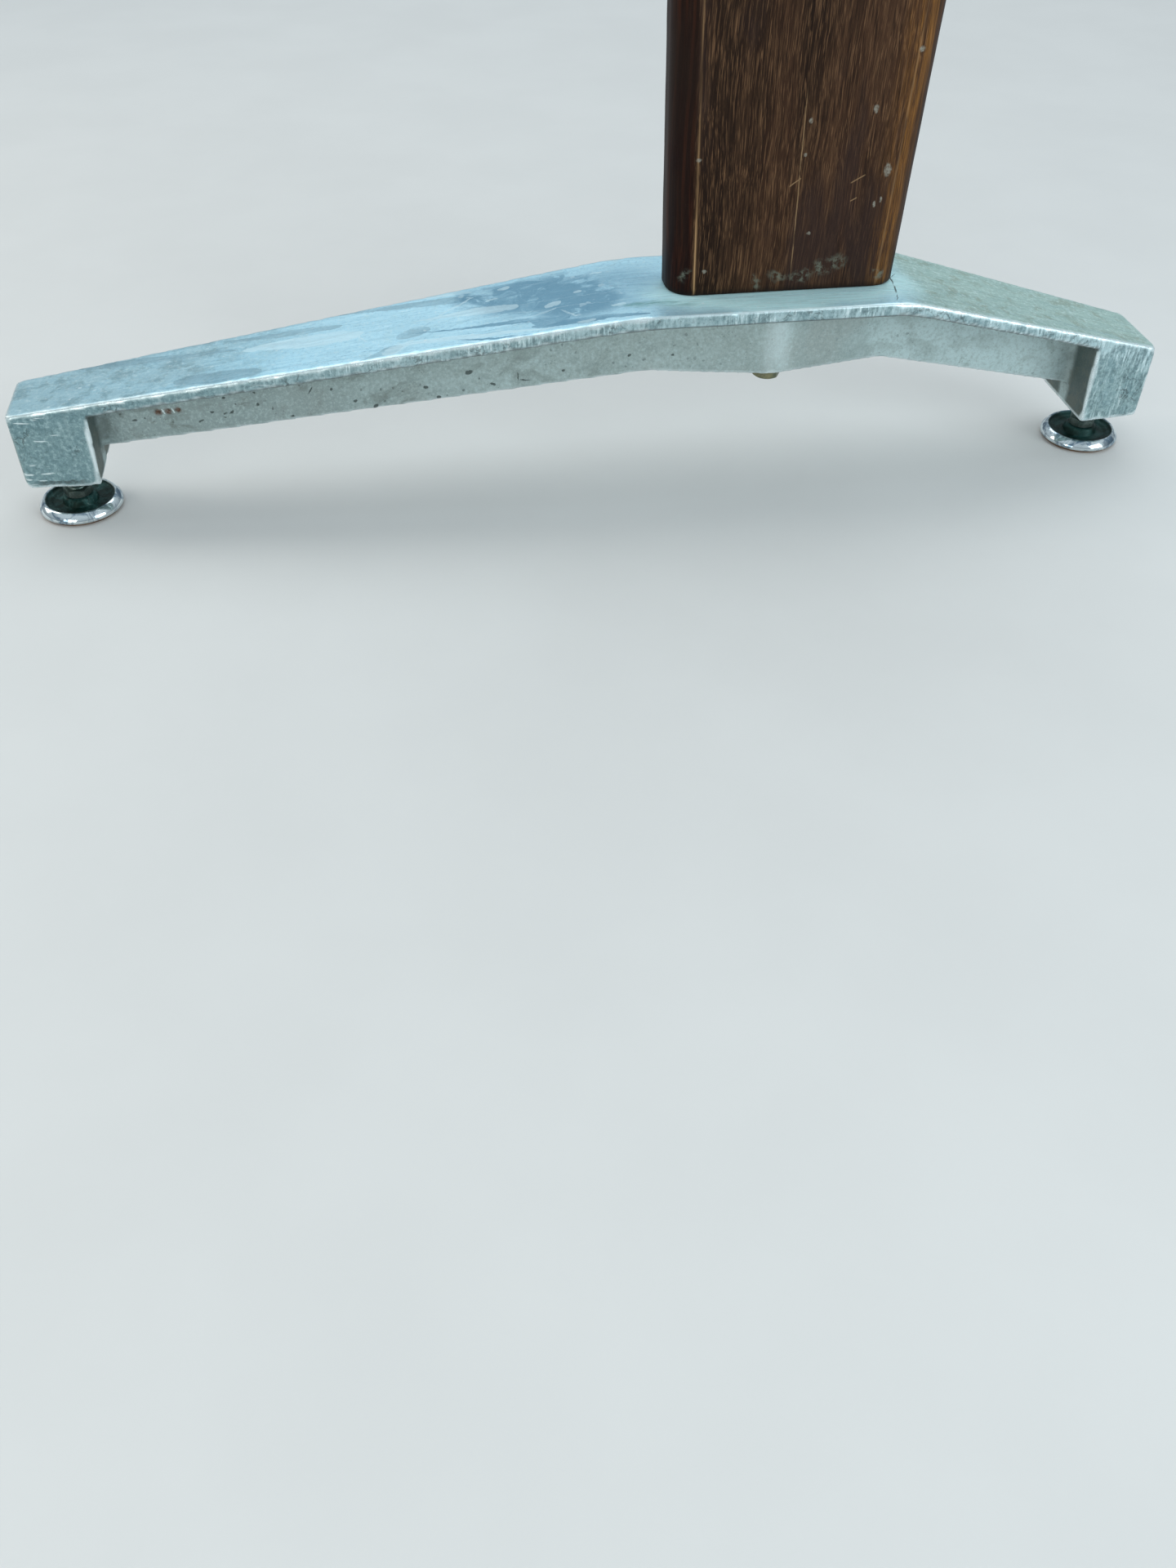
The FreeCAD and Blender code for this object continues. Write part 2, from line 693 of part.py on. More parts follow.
def glide_cap(side, across):
    """Pressed cap: a slanting rim round a shallow dish, with a boss that holds the stem's neck."""
    body = new_body(f"{side}_glide_cap")
    rim = "(size.cap_diameter / 2)"
    skirt = "(size.cushion_diameter / 2 + size.cap_skirt_gap)"
    base = "size.cap_skirt_height"
    crest = "size.cap_crest_radius"
    dish = "size.cap_floor_height"
    neck = "(size.stem_neck_diameter / 2 + size.thread_clearance)"
    head_wall = "(size.stem_head_diameter / 2 + size.thread_clearance)"
    head_roof = f"({HEAD_TOP} + size.stem_head_play)"
    turn(body, "section", [
        (skirt, base),
        (f"{rim} - size.cap_foot_inset", base),
        (rim, f"{base} + size.cap_foot_rise"),
        (f"{rim} - size.cap_rim_inset", f"{base} + size.cap_rim_rise"),
        (f"{crest} + size.cap_crest_width", "size.cap_height - size.cap_crest_outer_drop"),
        (crest, "size.cap_height"),
        (f"{crest} - size.cap_crest_width", "size.cap_height - size.cap_crest_inner_drop"),
        (f"{crest} - size.cap_wall_inset", f"{dish} + size.cap_wall_foot"),
        (f"{crest} - size.cap_ledge_inset", f"{dish} + size.cap_ledge_height"),
        (f"{crest} - size.cap_floor_inset", dish),
        (f"{head_wall} + size.cap_boss_foot_width", dish),
        (f"{head_wall} + size.cap_boss_top_width", "size.cap_boss_height"),
        (neck, "size.cap_boss_height"),
        (neck, head_roof),
        (head_wall, head_roof),
        (head_wall, "size.cushion_thickness"),
        (skirt, "size.cushion_thickness"),
    ])
    place(body, across)
    return body


def glide_cushion(side, across):
    body = new_body(f"{side}_glide_cushion")
    edge = "(size.cushion_diameter / 2)"
    turn(body, "section", [
        ("0", "0"),
        (f"{edge} - size.cushion_edge_cut", "0"),
        (edge, "size.cushion_edge_cut"),
        (edge, "size.cushion_thickness"),
        ("0", "size.cushion_thickness"),
    ])
    place(body, across)
    return body


def glide_stem(side, across):
    """Screw with a hexagon to turn it by and a flat head held loosely inside the cap."""
    body = new_body(f"{side}_glide_stem")
    head = "(size.stem_head_diameter / 2)"
    neck = "(size.stem_neck_diameter / 2)"
    stem = "(size.stem_diameter / 2)"
    turn(body, "section", [
        ("0", HEAD_BOTTOM),
        (head, HEAD_BOTTOM),
        (head, HEAD_TOP),
        (neck, HEAD_TOP),
        (neck, f"{HEX_BOTTOM} + size.stem_hex_overlap"),
        (stem, f"{HEX_BOTTOM} + size.stem_hex_overlap"),
        (stem, f"{STEM_TOP} - size.stem_end_chamfer"),
        (f"{stem} - size.stem_end_chamfer", STEM_TOP),
        ("0", STEM_TOP),
    ])
    flats = new_sketch(body, "hexagon", "XY_Plane", HEX_BOTTOM)
    hexagon(flats, "size.stem_hex_across")
    pad(body, flats, "size.stem_hex_height")
    place(body, across)
    return body


def lock_nut(side, across):
    """Thin nut on the stem, tight against the underside of the end block."""
    body = new_body(f"{side}_lock_nut")
    sketch = new_sketch(body, "hexagon", "XY_Plane")
    hexagon(sketch, "size.lock_nut_across")
    circle(sketch, "0", "0", "size.stem_diameter + 2 * size.thread_clearance")
    pad(body, sketch, "size.lock_nut_thickness")
    place(body, across, "size.block_height - size.lock_nut_thickness")
    return body


def build_all():
    foot_head_face = f"{SPOT_FACE} - {STACK}"
    top_head_face = f"{RECESS_FLOOR} + {STACK}"
    pieces = [
        foot_casting(),
        upright_post(),
        thread_insert("post_lower_insert", "size.pad_height"),
        hex_bolt("foot_bolt", foot_head_face,
                 f"size.pad_height - ({foot_head_face}) + size.bolt_insert_reach", True),
        spring_washer("foot_bolt_spring_washer", foot_head_face),
        flat_washer("foot_bolt_washer", f"{SPOT_FACE} - size.washer_thickness"),
        locating_pins("foot_locating_pins", "size.pad_height - size.pin_metal_depth"),
        top_bracket(),
        thread_insert("post_upper_insert", f"{POST_TOP} - size.insert_length"),
        hex_bolt("top_bolt", top_head_face,
                 f"{top_head_face} - {POST_TOP} + size.bolt_insert_reach", False),
        spring_washer("top_bolt_spring_washer", f"{RECESS_FLOOR} + size.washer_thickness"),
        flat_washer("top_bolt_washer", RECESS_FLOOR),
        locating_pins("top_locating_pins", f"{POST_TOP} - size.pin_wood_depth"),
    ]
    for side, across in (("left", "-size.glide_span / 2"), ("right", "size.glide_span / 2")):
        pieces += [glide_cap(side, across), glide_cushion(side, across),
                   glide_stem(side, across), lock_nut(side, across)]
    return pieces


def write_all(pieces):
    """Refuses a failed object or an invalid shape, then writes one STEP file for each piece."""
    doc.recompute()
    failed = [item.Name for item in doc.Objects if {"Invalid", "Error"} & set(item.State)]
    broken = [piece.Label for piece in pieces if piece.Shape.isNull() or not piece.Shape.isValid()]
    if failed or broken:
        raise RuntimeError(f"failed objects {failed}, broken shapes {broken}")
    os.makedirs(NODES_FOLDER, exist_ok=True)
    for piece in pieces:
        piece.Shape.exportStep(os.path.join(NODES_FOLDER, f"{piece.Label}.step"))
        box = piece.Shape.BoundBox
        print(f"{piece.Label}: {len(piece.Shape.Solids)} solid, {piece.Shape.Volume / 1000:.2f} cm3, "
              f"x {box.XMin:.1f} to {box.XMax:.1f}, z {box.ZMin:.1f} to {box.ZMax:.1f}")


write_all(build_all())
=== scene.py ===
import math

import bmesh
import bpy
import numpy as np
from mathutils import Matrix, Vector, noise


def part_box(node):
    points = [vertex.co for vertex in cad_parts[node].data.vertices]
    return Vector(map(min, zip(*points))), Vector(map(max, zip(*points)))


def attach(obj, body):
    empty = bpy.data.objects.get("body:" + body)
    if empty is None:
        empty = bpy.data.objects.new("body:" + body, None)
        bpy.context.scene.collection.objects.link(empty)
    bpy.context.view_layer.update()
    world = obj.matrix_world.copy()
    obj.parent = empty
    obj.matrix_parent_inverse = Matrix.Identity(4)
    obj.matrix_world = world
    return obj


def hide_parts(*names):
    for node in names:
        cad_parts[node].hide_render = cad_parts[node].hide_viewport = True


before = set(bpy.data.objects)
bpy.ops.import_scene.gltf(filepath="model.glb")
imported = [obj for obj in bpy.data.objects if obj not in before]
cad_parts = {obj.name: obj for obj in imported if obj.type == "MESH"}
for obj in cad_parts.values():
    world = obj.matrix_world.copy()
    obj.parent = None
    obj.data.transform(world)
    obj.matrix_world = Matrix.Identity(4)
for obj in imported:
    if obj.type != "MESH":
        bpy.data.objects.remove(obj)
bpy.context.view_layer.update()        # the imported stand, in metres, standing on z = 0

mm = 0.001
scene = bpy.context.scene
print("frame loaded:", len(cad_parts), "nodes")


# camera first, then light, floor, finishes and pieces

cameraLook = {
    "place": (-0.10631, -0.61613, 0.35975),
    "yaw": 9.26,          # degrees to the right of +Y
    "pitch": 43.70,       # degrees down
    "roll": 0.75,
    "lens": 29.49,
    "sensor": 36.0,
}


def addCamera(look):
    data = bpy.data.cameras.new("viewCamera")
    data.lens = look["lens"]
    data.sensor_width = look["sensor"]
    data.clip_start = 0.01
    camera = bpy.data.objects.new("viewCamera", data)
    scene.collection.objects.link(camera)
    turn = Matrix.Rotation(math.radians(-look["yaw"]), 4, "Z")
    tilt = Matrix.Rotation(math.radians(90 - look["pitch"]), 4, "X")
    roll = Matrix.Rotation(math.radians(look["roll"]), 4, "Z")
    camera.matrix_world = Matrix.Translation(look["place"]) @ turn @ tilt @ roll
    scene.camera = camera


addCamera(cameraLook)
print("camera set")


# ---- small helpers for shader trees ----

def plug(tree, socket, value):
    if isinstance(value, bpy.types.NodeSocket):
        tree.links.new(value, socket)
    elif hasattr(value, "__len__") and len(value) == 3 and socket.type == "RGBA":
        socket.default_value = (*value, 1)
    else:
        socket.default_value = value


def addNode(tree, kind, settings=None, sockets=None):
    made = tree.nodes.new("ShaderNode" + kind)
    for name, value in (settings or {}).items():
        setattr(made, name, value)
    for name, value in (sockets or {}).items():
        plug(tree, made.inputs[name], value)
    return made


def startMaterial(name):
    material = bpy.data.materials.new(name)
    material.use_nodes = True
    tree = material.node_tree
    tree.nodes.clear()
    output = addNode(tree, "OutputMaterial")
    shader = addNode(tree, "BsdfPrincipled")
    tree.links.new(shader.outputs[0], output.inputs[0])
    return material, tree, shader


def objectPlace(tree):
    return addNode(tree, "TexCoord").outputs["Object"]


def stretched(tree, vector, scale, turn=(0, 0, 0)):
    return addNode(tree, "Mapping", None, {"Vector": vector, "Scale": scale, "Rotation": turn}).outputs[0]


def grains(tree, vector, scale, detail=3.0, rough=0.55, bend=0.0):
    sockets = {"Vector": vector, "Scale": scale, "Detail": detail, "Roughness": rough, "Distortion": bend}
    return addNode(tree, "TexNoise", None, sockets).outputs[0]


def cells(tree, vector, scale, feature="F1", jitter=1.0):
    sockets = {"Vector": vector, "Scale": scale, "Randomness": jitter}
    return addNode(tree, "TexVoronoi", {"feature": feature}, sockets).outputs["Distance"]


def band(tree, value, low, high, outLow=0.0, outHigh=1.0):
    sockets = {"Value": value, "From Min": low, "From Max": high, "To Min": outLow, "To Max": outHigh}
    return addNode(tree, "MapRange", {"interpolation_type": "SMOOTHSTEP"}, sockets).outputs[0]


def sums(tree, operation, a, b=None):
    made = addNode(tree, "Math", {"operation": operation})
    plug(tree, made.inputs[0], a)
    if b is not None:
        plug(tree, made.inputs[1], b)
    return made.outputs[0]


def times(tree, *values):
    total = values[0]
    for value in values[1:]:
        total = sums(tree, "MULTIPLY", total, value)
    return total


def most(tree, values):
    total = values[0]
    for value in values[1:]:
        total = sums(tree, "MAXIMUM", total, value)
    return total


def blend(tree, share, a, b, mode="MIX"):
    made = addNode(tree, "Mix", {"data_type": "RGBA", "blend_type": mode})
    plug(tree, made.inputs["Factor"], share)
    plug(tree, made.inputs[6], a)
    plug(tree, made.inputs[7], b)
    return made.outputs[2]


def blendValue(tree, share, a, b):
    made = addNode(tree, "Mix", {"data_type": "FLOAT"})
    plug(tree, made.inputs["Factor"], share)
    plug(tree, made.inputs[2], a)
    plug(tree, made.inputs[3], b)
    return made.outputs[0]


def painted(tree, name):
    return addNode(tree, "Attribute", {"attribute_name": name, "attribute_type": "GEOMETRY"}).outputs["Fac"]


def raised(tree, height, strength, distance, normal=None):
    sockets = {"Height": height, "Strength": strength, "Distance": distance}
    if normal is not None:
        sockets["Normal"] = normal
    return addNode(tree, "Bump", None, sockets).outputs[0]


def nudged(tree, vector, scale, reach):
    # wanders a place a little, so that shapes read from it have ragged edges
    wander = addNode(tree, "TexNoise", None, {"Vector": vector, "Scale": scale, "Detail": 2.0}).outputs["Color"]
    centred = addNode(tree, "VectorMath", {"operation": "SUBTRACT"}, {0: wander, 1: (0.5, 0.5, 0.5)}).outputs[0]
    scaled = addNode(tree, "VectorMath", {"operation": "SCALE"}, {0: centred, "Scale": reach}).outputs[0]
    return addNode(tree, "VectorMath", {"operation": "ADD"}, {0: vector, 1: scaled}).outputs[0]


def mark(tree, vector, centre, half, turn=0.0, edge=0.25, square=False, axis="Z"):
    # 1 inside an ellipse or a box about a place, 0 outside it
    spin = {"X": (turn, 0, 0), "Y": (0, turn, 0), "Z": (0, 0, turn)}[axis]
    sockets = {"Vector": vector, "Location": centre, "Rotation": spin, "Scale": half}
    local = addNode(tree, "Mapping", {"vector_type": "TEXTURE"}, sockets).outputs[0]
    if square:
        size = addNode(tree, "VectorMath", {"operation": "ABSOLUTE"}, {0: local}).outputs[0]
        split = addNode(tree, "SeparateXYZ", None, {0: size})
        reach = most(tree, [split.outputs[0], split.outputs[1], split.outputs[2]])
    else:
        reach = addNode(tree, "VectorMath", {"operation": "LENGTH"}, {0: local}).outputs["Value"]
    return band(tree, reach, 1 - edge, 1, 1.0, 0.0)


def wedge(tree, vector, centre, half, start, end, turn):
    # 1 inside a leaf seen from above that starts one width and ends another, 0 outside it
    sockets = {"Vector": vector, "Location": (*centre, 0), "Rotation": (0, 0, turn), "Scale": (half, 1, 1)}
    local = addNode(tree, "Mapping", {"vector_type": "TEXTURE"}, sockets).outputs[0]
    split = addNode(tree, "SeparateXYZ", None, {0: local})
    width = band(tree, split.outputs[0], -1.0, 1.0, start, end)
    left = sums(tree, "MAXIMUM", sums(tree, "SUBTRACT", 1.0, times(tree, split.outputs[0], split.outputs[0])), 0.0001)
    width = times(tree, width, sums(tree, "POWER", left, 0.45))
    side = sums(tree, "DIVIDE", sums(tree, "ABSOLUTE", split.outputs[1]), width)
    return band(tree, side, 0.72, 1.0, 1.0, 0.0)


# ---- light and floor ----

lightLook = {
    "zenith": (0.80, 0.90, 0.96),
    "horizon": (0.42, 0.48, 0.52),
    "worldPower": 0.64,
    "floor": (0.70, 0.70, 0.69),
    "floorSide": 80.0,
}

lamps = {
    # name: place, aims at, width, height, watts, colour
    "overheadSoftbox": ((0.21, 1.14, 3.00), (0.0, 0.0, 0.08), 4.0, 3.15, 47.0, (0.90, 0.97, 1.0)),
    "rightFrontFill": ((0.95, -0.95, 0.55), (0.12, 0.0, 0.08), 0.8, 0.7, 7.5, (0.88, 0.97, 1.0)),
    "leftFrontFill": ((-0.85, -1.0, 0.35), (-0.1, 0.0, 0.06), 0.7, 0.5, 3.2, (1.0, 0.97, 0.90)),
    "leftRim": ((-1.1, 0.35, 0.75), (0.08, 0.0, 0.3), 0.35, 0.9, 3.0, (1.0, 0.93, 0.82)),
}


def addLight(look, lampList):
    world = bpy.data.worlds.new("studioAir")
    scene.world = world
    world.use_nodes = True
    tree = world.node_tree
    tree.nodes.clear()
    up = addNode(tree, "SeparateXYZ", None, {0: addNode(tree, "TexCoord").outputs["Generated"]}).outputs[2]
    sky = blend(tree, band(tree, up, 0.0, 0.75), look["horizon"], look["zenith"])
    air = addNode(tree, "Background", None, {"Color": sky, "Strength": look["worldPower"]})
    tree.links.new(air.outputs[0], addNode(tree, "OutputWorld").inputs[0])
    for name, (place, aim, width, height, watts, colour) in lampList.items():
        data = bpy.data.lights.new(name, "AREA")
        data.shape = "RECTANGLE"
        data.size = width
        data.size_y = height
        data.energy = watts
        data.color = colour
        lamp = bpy.data.objects.new(name, data)
        lamp.location = place
        lamp.rotation_euler = (Vector(aim) - Vector(place)).to_track_quat("-Z", "Y").to_euler()
        scene.collection.objects.link(lamp)
    scene.view_settings.view_transform = "Standard"


def addFloor(look):
    half = look["floorSide"] / 2
    mesh = bpy.data.meshes.new("studioFloor")
    mesh.from_pydata([(-half, -half, 0), (half, -half, 0), (half, half, 0), (-half, half, 0)], [], [(0, 1, 2, 3)])
    floor = bpy.data.objects.new("studioFloor", mesh)
    scene.collection.objects.link(floor)
    material, tree, shader = startMaterial("paleFloor")
    place = objectPlace(tree)
    shade = band(tree, grains(tree, place, 9.0, 4.0), 0.3, 0.7, 0.97, 1.0)
    tone = addNode(tree, "Mix", {"data_type": "RGBA", "blend_type": "MULTIPLY"}, {"Factor": 1.0}).outputs[2]
    plug(tree, tone.node.inputs[6], look["floor"])
    plug(tree, tone.node.inputs[7], shade)
    plug(tree, shader.inputs["Base Color"], tone)
    shader.inputs["Roughness"].default_value = 0.72
    shader.inputs["Specular IOR Level"].default_value = 0.25
    mesh.materials.append(material)


addLight(lightLook, lamps)
addFloor(lightLook)
print("light and floor set")


# ---- cast aluminium: foot and top bracket ----

aluminiumLook = {
    "cast": (0.40, 0.49, 0.48),
    "castPale": (0.56, 0.70, 0.71),
    "castWarm": (0.43, 0.45, 0.42),
    "castTip": (0.30, 0.38, 0.38),
    "stain": (0.185, 0.225, 0.205),
    "top": (0.44, 0.80, 0.97),
    "topDull": (0.34, 0.50, 0.47),
    "topPale": (0.47, 0.63, 0.58),
    "khaki": (0.25, 0.28, 0.19),
    "dust": (0.36, 0.46, 0.46),
    "wiped": (0.090, 0.285, 0.440),
    "slate": (0.190, 0.330, 0.400),
    "frost": (0.720, 0.930, 1.000),
    "postReflectionPatch": (0.62, 0.93, 0.95),
    "filed": (0.17, 0.29, 0.32),
    "filedPale": (0.46, 0.62, 0.65),
    "stroke": (0.085, 0.150, 0.165),
    "block": (0.30, 0.43, 0.44),
    "inner": (0.058, 0.086, 0.080),
    "bright": (0.86, 0.97, 0.99),
    "grimeAndShade": (0.040, 0.055, 0.052),
    "olive": (0.16, 0.17, 0.14),
    "teal": (0.14, 0.34, 0.33),
    "rust": (0.13, 0.046, 0.016),
    "pitScale": 620.0,
    "sandScale": 1100.0,
    "fileScale": 760.0,
}

footMarks = {
    # wiped and greasy shapes on the long arm's top, in mm and degrees:
    # x, y, half length, half width at its start and at its end, turn
    "slate": [
        (-100, 24, 40, 1.0, 5.5, -7), (-160, 17, 30, 1.5, 5.0, -6), (-222, 14, 40, 5.0, 2.5, -7),
        (-191, -17, 22, 6.5, 7.0, -6), (-96, -8, 8, 5.5, 6.0, 20), (-113, -24, 12, 1.0, 5.0, 24),
    ],
    "wiped": [
        (-58, -15, 38, 0.8, 3.2, -8), (-30, -20, 9.5, 6.5, 7.0, 0), (-50, 25, 24, 2.0, 6.0, -8),
        (-12, -28, 28, 4.0, 2.5, -6), (-50, -32, 30, 0.8, 2.4, -16), (-28, 10, 26, 5.0, 8.0, -10),
    ],
    "frost": [
        (-82, 29, 18, 1.0, 2.8, -7), (-77, 10, 16, 0.6, 1.2, 38), (-104, -21, 9, 5.0, 2.0, 32),
        (-66, -24, 36, 4.0, 1.4, -9), (-70, 3, 26, 1.0, 6.0, -4), (-49, 23, 3.2, 1.8, 2.2, 0),
        (-47, -1, 2.6, 1.8, 2.0, 30), (-27, -5, 4.4, 2.4, 2.8, 12), (-56, 13, 3.0, 0.9, 1.2, 10),
        (-14, -29, 5.0, 1.2, 1.8, 0), (-34, -12, 9.0, 0.6, 1.0, 16), (-21, -17, 6.0, 0.7, 1.1, -60),
        (3, -17, 3.4, 1.2, 1.6, 0), (-122, -2, 8, 0.45, 0.55, -62), (-129, 6, 6, 0.45, 0.5, -20),
        (-14, 4, 2.6, 1.3, 1.5, 0), (-2, 22, 3.2, 1.0, 1.4, 10), (-150, 4, 30, 5.0, 8.0, -6),
    ],
    # where greasy streaks lie thick: x, y, half length, half width, turn
    "greasy": [(-34, 8, 46, 26, -8), (-14, -4, 32, 28, 0), (-54, 18, 30, 14, -8), (-22, 6, 34, 30, -4)],
    # on the web's front face: x, z, half length, half height, turn
    "rust": [(-224.6, 51.0, 3.0, 2.4, 0), (-219.8, 51.3, 2.8, 2.3, 0), (-215.0, 51.7, 2.4, 2.1, 0)],
    "rustNick": [(-222.2, 51.2, 0.45, 1.8, 25), (-217.4, 51.4, 0.45, 1.7, 20)],
    "specks": [
        (-205.0, 45.0, 1.8, 0.5, 20), (-176.0, 52.0, 1.0, 1.0, 0), (-139.0, 57.6, 0.9, 1.1, 0), (-118.0, 47.0, 1.8, 1.0, 30),
        (-86.0, 49.8, 1.4, 1.0, 0), (-70.0, 62.0, 2.4, 1.4, 15), (-58.0, 55.0, 2.0, 0.8, -20), (-22.0, 60.0, 1.2, 1.0, 0),
        (12.0, 66.0, 1.0, 0.9, 0), (46.0, 72.0, 0.8, 3.0, 30), (70.0, 63.0, 0.9, 0.7, 0), (-192.0, 56.5, 1.2, 0.8, 0),
        (-149.4, 57.7, 2.6, 0.45, 55), (-189.3, 48.6, 1.6, 0.7, 30), (-198.8, 49.3, 1.2, 0.8, 0),
        (-236.8, 47.6, 1.6, 0.6, 0), (-45.2, 58.2, 0.4, 2.8, 0), (-41.6, 56.1, 3.4, 0.4, -6),
        (51.8, 68.0, 3.4, 0.35, 42), (-160, 44.5, 1.0, 0.7, 0), (-128, 50.5, 1.2, 0.9, 0),
        (-92, 55.5, 1.5, 1.0, 0), (34, 66, 1.2, 0.8, 0), (112, 72, 0.9, 0.8, 0),
    ],
    # the short crack in the dirt beside the post: x, y, half length, half width, turn
    "crack": [(143.4, -7, 9.0, 0.55, 84), (141.4, -19, 6.0, 0.7, 78), (139.2, -29, 5.5, 0.35, 70),
              (146.2, -2, 4.5, 0.3, 52)],
}


def castAluminium(name, look, marks, postAxis, topZ):
    material, tree, shader = startMaterial(name)
    place = objectPlace(tree)
    split = addNode(tree, "SeparateXYZ", None, {0: place})
    topFace = painted(tree, "topFace")
    sideFace = painted(tree, "sideFace")
    edgeWearAndGlint = painted(tree, "edgeWearAndGlint")
    hollowGrimeShade = painted(tree, "hollowGrimeShade")
    lipShade = painted(tree, "paintedLipShade")

    across = split.outputs[0]
    inner = painted(tree, "innerFace")
    block = painted(tree, "blockFace")

    # sand cast faces
    broad = grains(tree, place, 22.0, 4.0, 0.6)
    mottle = grains(tree, place, 150.0, 5.0, 0.65, 0.4)
    sand = grains(tree, place, look["sandScale"], 3.0, 0.7)
    fineSand = grains(tree, place, look["sandScale"] * 2.4, 2.0, 0.7)
    pits = band(tree, cells(tree, nudged(tree, place, 300.0, 0.0015), look["pitScale"]), 0.10, 0.22, 1.0, 0.0)
    pitted = times(tree, pits, band(tree, grains(tree, place, 75.0, 3.0), 0.56, 0.68))
    cast = blend(tree, band(tree, broad, 0.32, 0.72, 0.0, 0.45), look["cast"], look["castPale"])
    # paler to the right of the post: painted light, where the faces turned to the right catch more light
    cast = blend(tree, band(tree, across, postAxis[0] + 0.03, postAxis[0] + 0.07, 0.0, 0.75), cast, look["castPale"])
    warm = band(tree, grains(tree, stretched(tree, place, (1, 1, 1), (0.3, 0.2, 0.5)), 14.0, 3.0), 0.50, 0.68, 0.0, 0.5)
    cast = blend(tree, warm, cast, look["castWarm"])
    tip = band(tree, sums(tree, "ADD", across, times(tree, broad, 0.10)), -0.16, 0.03, 0.8, 0.0)
    cast = blend(tree, tip, cast, look["castTip"])
    blotches = grains(tree, nudged(tree, place, 90.0, 0.006), 95.0, 6.0, 0.72, 0.3)
    dirtier = band(tree, across, -0.24, 0.10, 0.75, 0.30)
    cast = blend(tree, times(tree, band(tree, blotches, 0.50, 0.66), dirtier), cast, look["castTip"])
    cast = blend(tree, times(tree, band(tree, mottle, 0.52, 0.70, 0.0, 0.45), dirtier), cast, look["olive"])
    grit = grains(tree, place, 520.0, 4.0, 0.75)
    cast = blend(tree, band(tree, grit, 0.48, 0.66, 0.0, 0.45), cast, look["castPale"])
    cast = blend(tree, band(tree, grit, 0.50, 0.36, 0.0, 0.40), cast, look["castTip"])
    cast = blend(tree, band(tree, fineSand, 0.50, 0.66, 0.0, 0.25), cast, look["castTip"])
    motes = band(tree, cells(tree, nudged(tree, place, 240.0, 0.004), 190.0), 0.10, 0.17, 1.0, 0.0)
    motes = times(tree, motes, band(tree, blotches, 0.46, 0.56), dirtier)
    cast = blend(tree, times(tree, motes, 1.0), cast, look["grimeAndShade"])
    stains = grains(tree, stretched(tree, nudged(tree, place, 60.0, 0.010), (34, 34, 60)), 1.0, 5.0, 0.65, 0.5)
    cast = blend(tree, times(tree, band(tree, stains, 0.52, 0.62), dirtier, 0.75), cast, look["stain"])
    cast = blend(tree, times(tree, pitted, 0.7), cast, look["grimeAndShade"])
    # the end blocks' inner faces in the pocket under the flange are painted near-black: painted shade
    cast = blend(tree, times(tree, inner, 0.92), cast, look["inner"])
    cast = blend(tree, times(tree, inner, band(tree, mottle, 0.44, 0.6, 0.0, 0.4)), cast, look["olive"])

    # satin top: brushed along the foot, smeared and wiped on the long arm, duller on the short one; its blue base is a
    # painted reflection of the sky
    brushed = grains(tree, stretched(tree, place, (24, 720, 240), (0, 0, 0.05)), 1.0, 4.0, 0.65, 0.3)
    streaked = grains(tree, stretched(tree, place, (60, 620, 90), (0, 0, 0.22)), 1.0, 5.0, 0.7, 0.5)
    if marks:
        shortArm = band(tree, across, postAxis[0] + 0.045, postAxis[0] + 0.075)
    else:
        shortArm = band(tree, grains(tree, place, 16.0, 3.0), 0.40, 0.60, 0.55, 0.95)
    # the patch in front of the post is a painted reflection and shade of the post: paler, less metallic and rougher
    # where the post hides the sky
    postReflectionPatch = mark(tree, nudged(tree, place, 60.0, 0.012), (postAxis[0], -0.010, topZ), (0.083, 0.034, 0.03), 0, 0.35) if marks else 0.0
    satin = blend(tree, band(tree, brushed, 0.35, 0.80, 0.0, 0.22), look["top"], look["bright"])
    satin = blend(tree, band(tree, mottle, 0.48, 0.78, 0.0, 0.25), satin, look["topDull"])
    dusty = band(tree, sums(tree, "ADD", across, times(tree, broad, 0.16)), -0.16, -0.06, 0.55, 0.0)
    satin = blend(tree, band(tree, across, -0.20, -0.13, 0.0, 0.30), satin, look["frost"])
    satin = blend(tree, dusty, satin, look["dust"])
    satin = blend(tree, times(tree, band(tree, blotches, 0.46, 0.62), dusty), satin, look["filed"])
    satin = blend(tree, band(tree, grit, 0.52, 0.70, 0.0, 0.40), satin, look["bright"])
    satin = blend(tree, band(tree, grit, 0.48, 0.34, 0.0, 0.25), satin, look["wiped"])
    dull = blend(tree, band(tree, streaked, 0.36, 0.66), look["topPale"], look["topDull"])
    dull = blend(tree, band(tree, blotches, 0.48, 0.66, 0.0, 0.45), dull, look["khaki"])
    dull = blend(tree, band(tree, grit, 0.50, 0.68, 0.0, 0.40), dull, look["bright"])
    dull = blend(tree, band(tree, grit, 0.48, 0.34, 0.0, 0.35), dull, look["castTip"])
    satin = blend(tree, shortArm, satin, dull)
    postReflectionTone = blend(tree, band(tree, streaked, 0.40, 0.64, 0.0, 0.35), look["postReflectionPatch"], look["topDull"])
    postReflectionTone = blend(tree, band(tree, grit, 0.50, 0.68, 0.0, 0.35), postReflectionTone, look["bright"])
    satin = blend(tree, times(tree, postReflectionPatch, 0.90), satin, postReflectionTone)
    smear = 0.0
    if marks:
        fine = nudged(tree, nudged(tree, place, 60.0, 0.005), 380.0, 0.0018)

        def shapes(kind):
            return most(tree, [wedge(tree, fine, (x * mm, y * mm), half * mm, start * mm, end * mm, math.radians(turn))
                               for x, y, half, start, end, turn in marks[kind]])

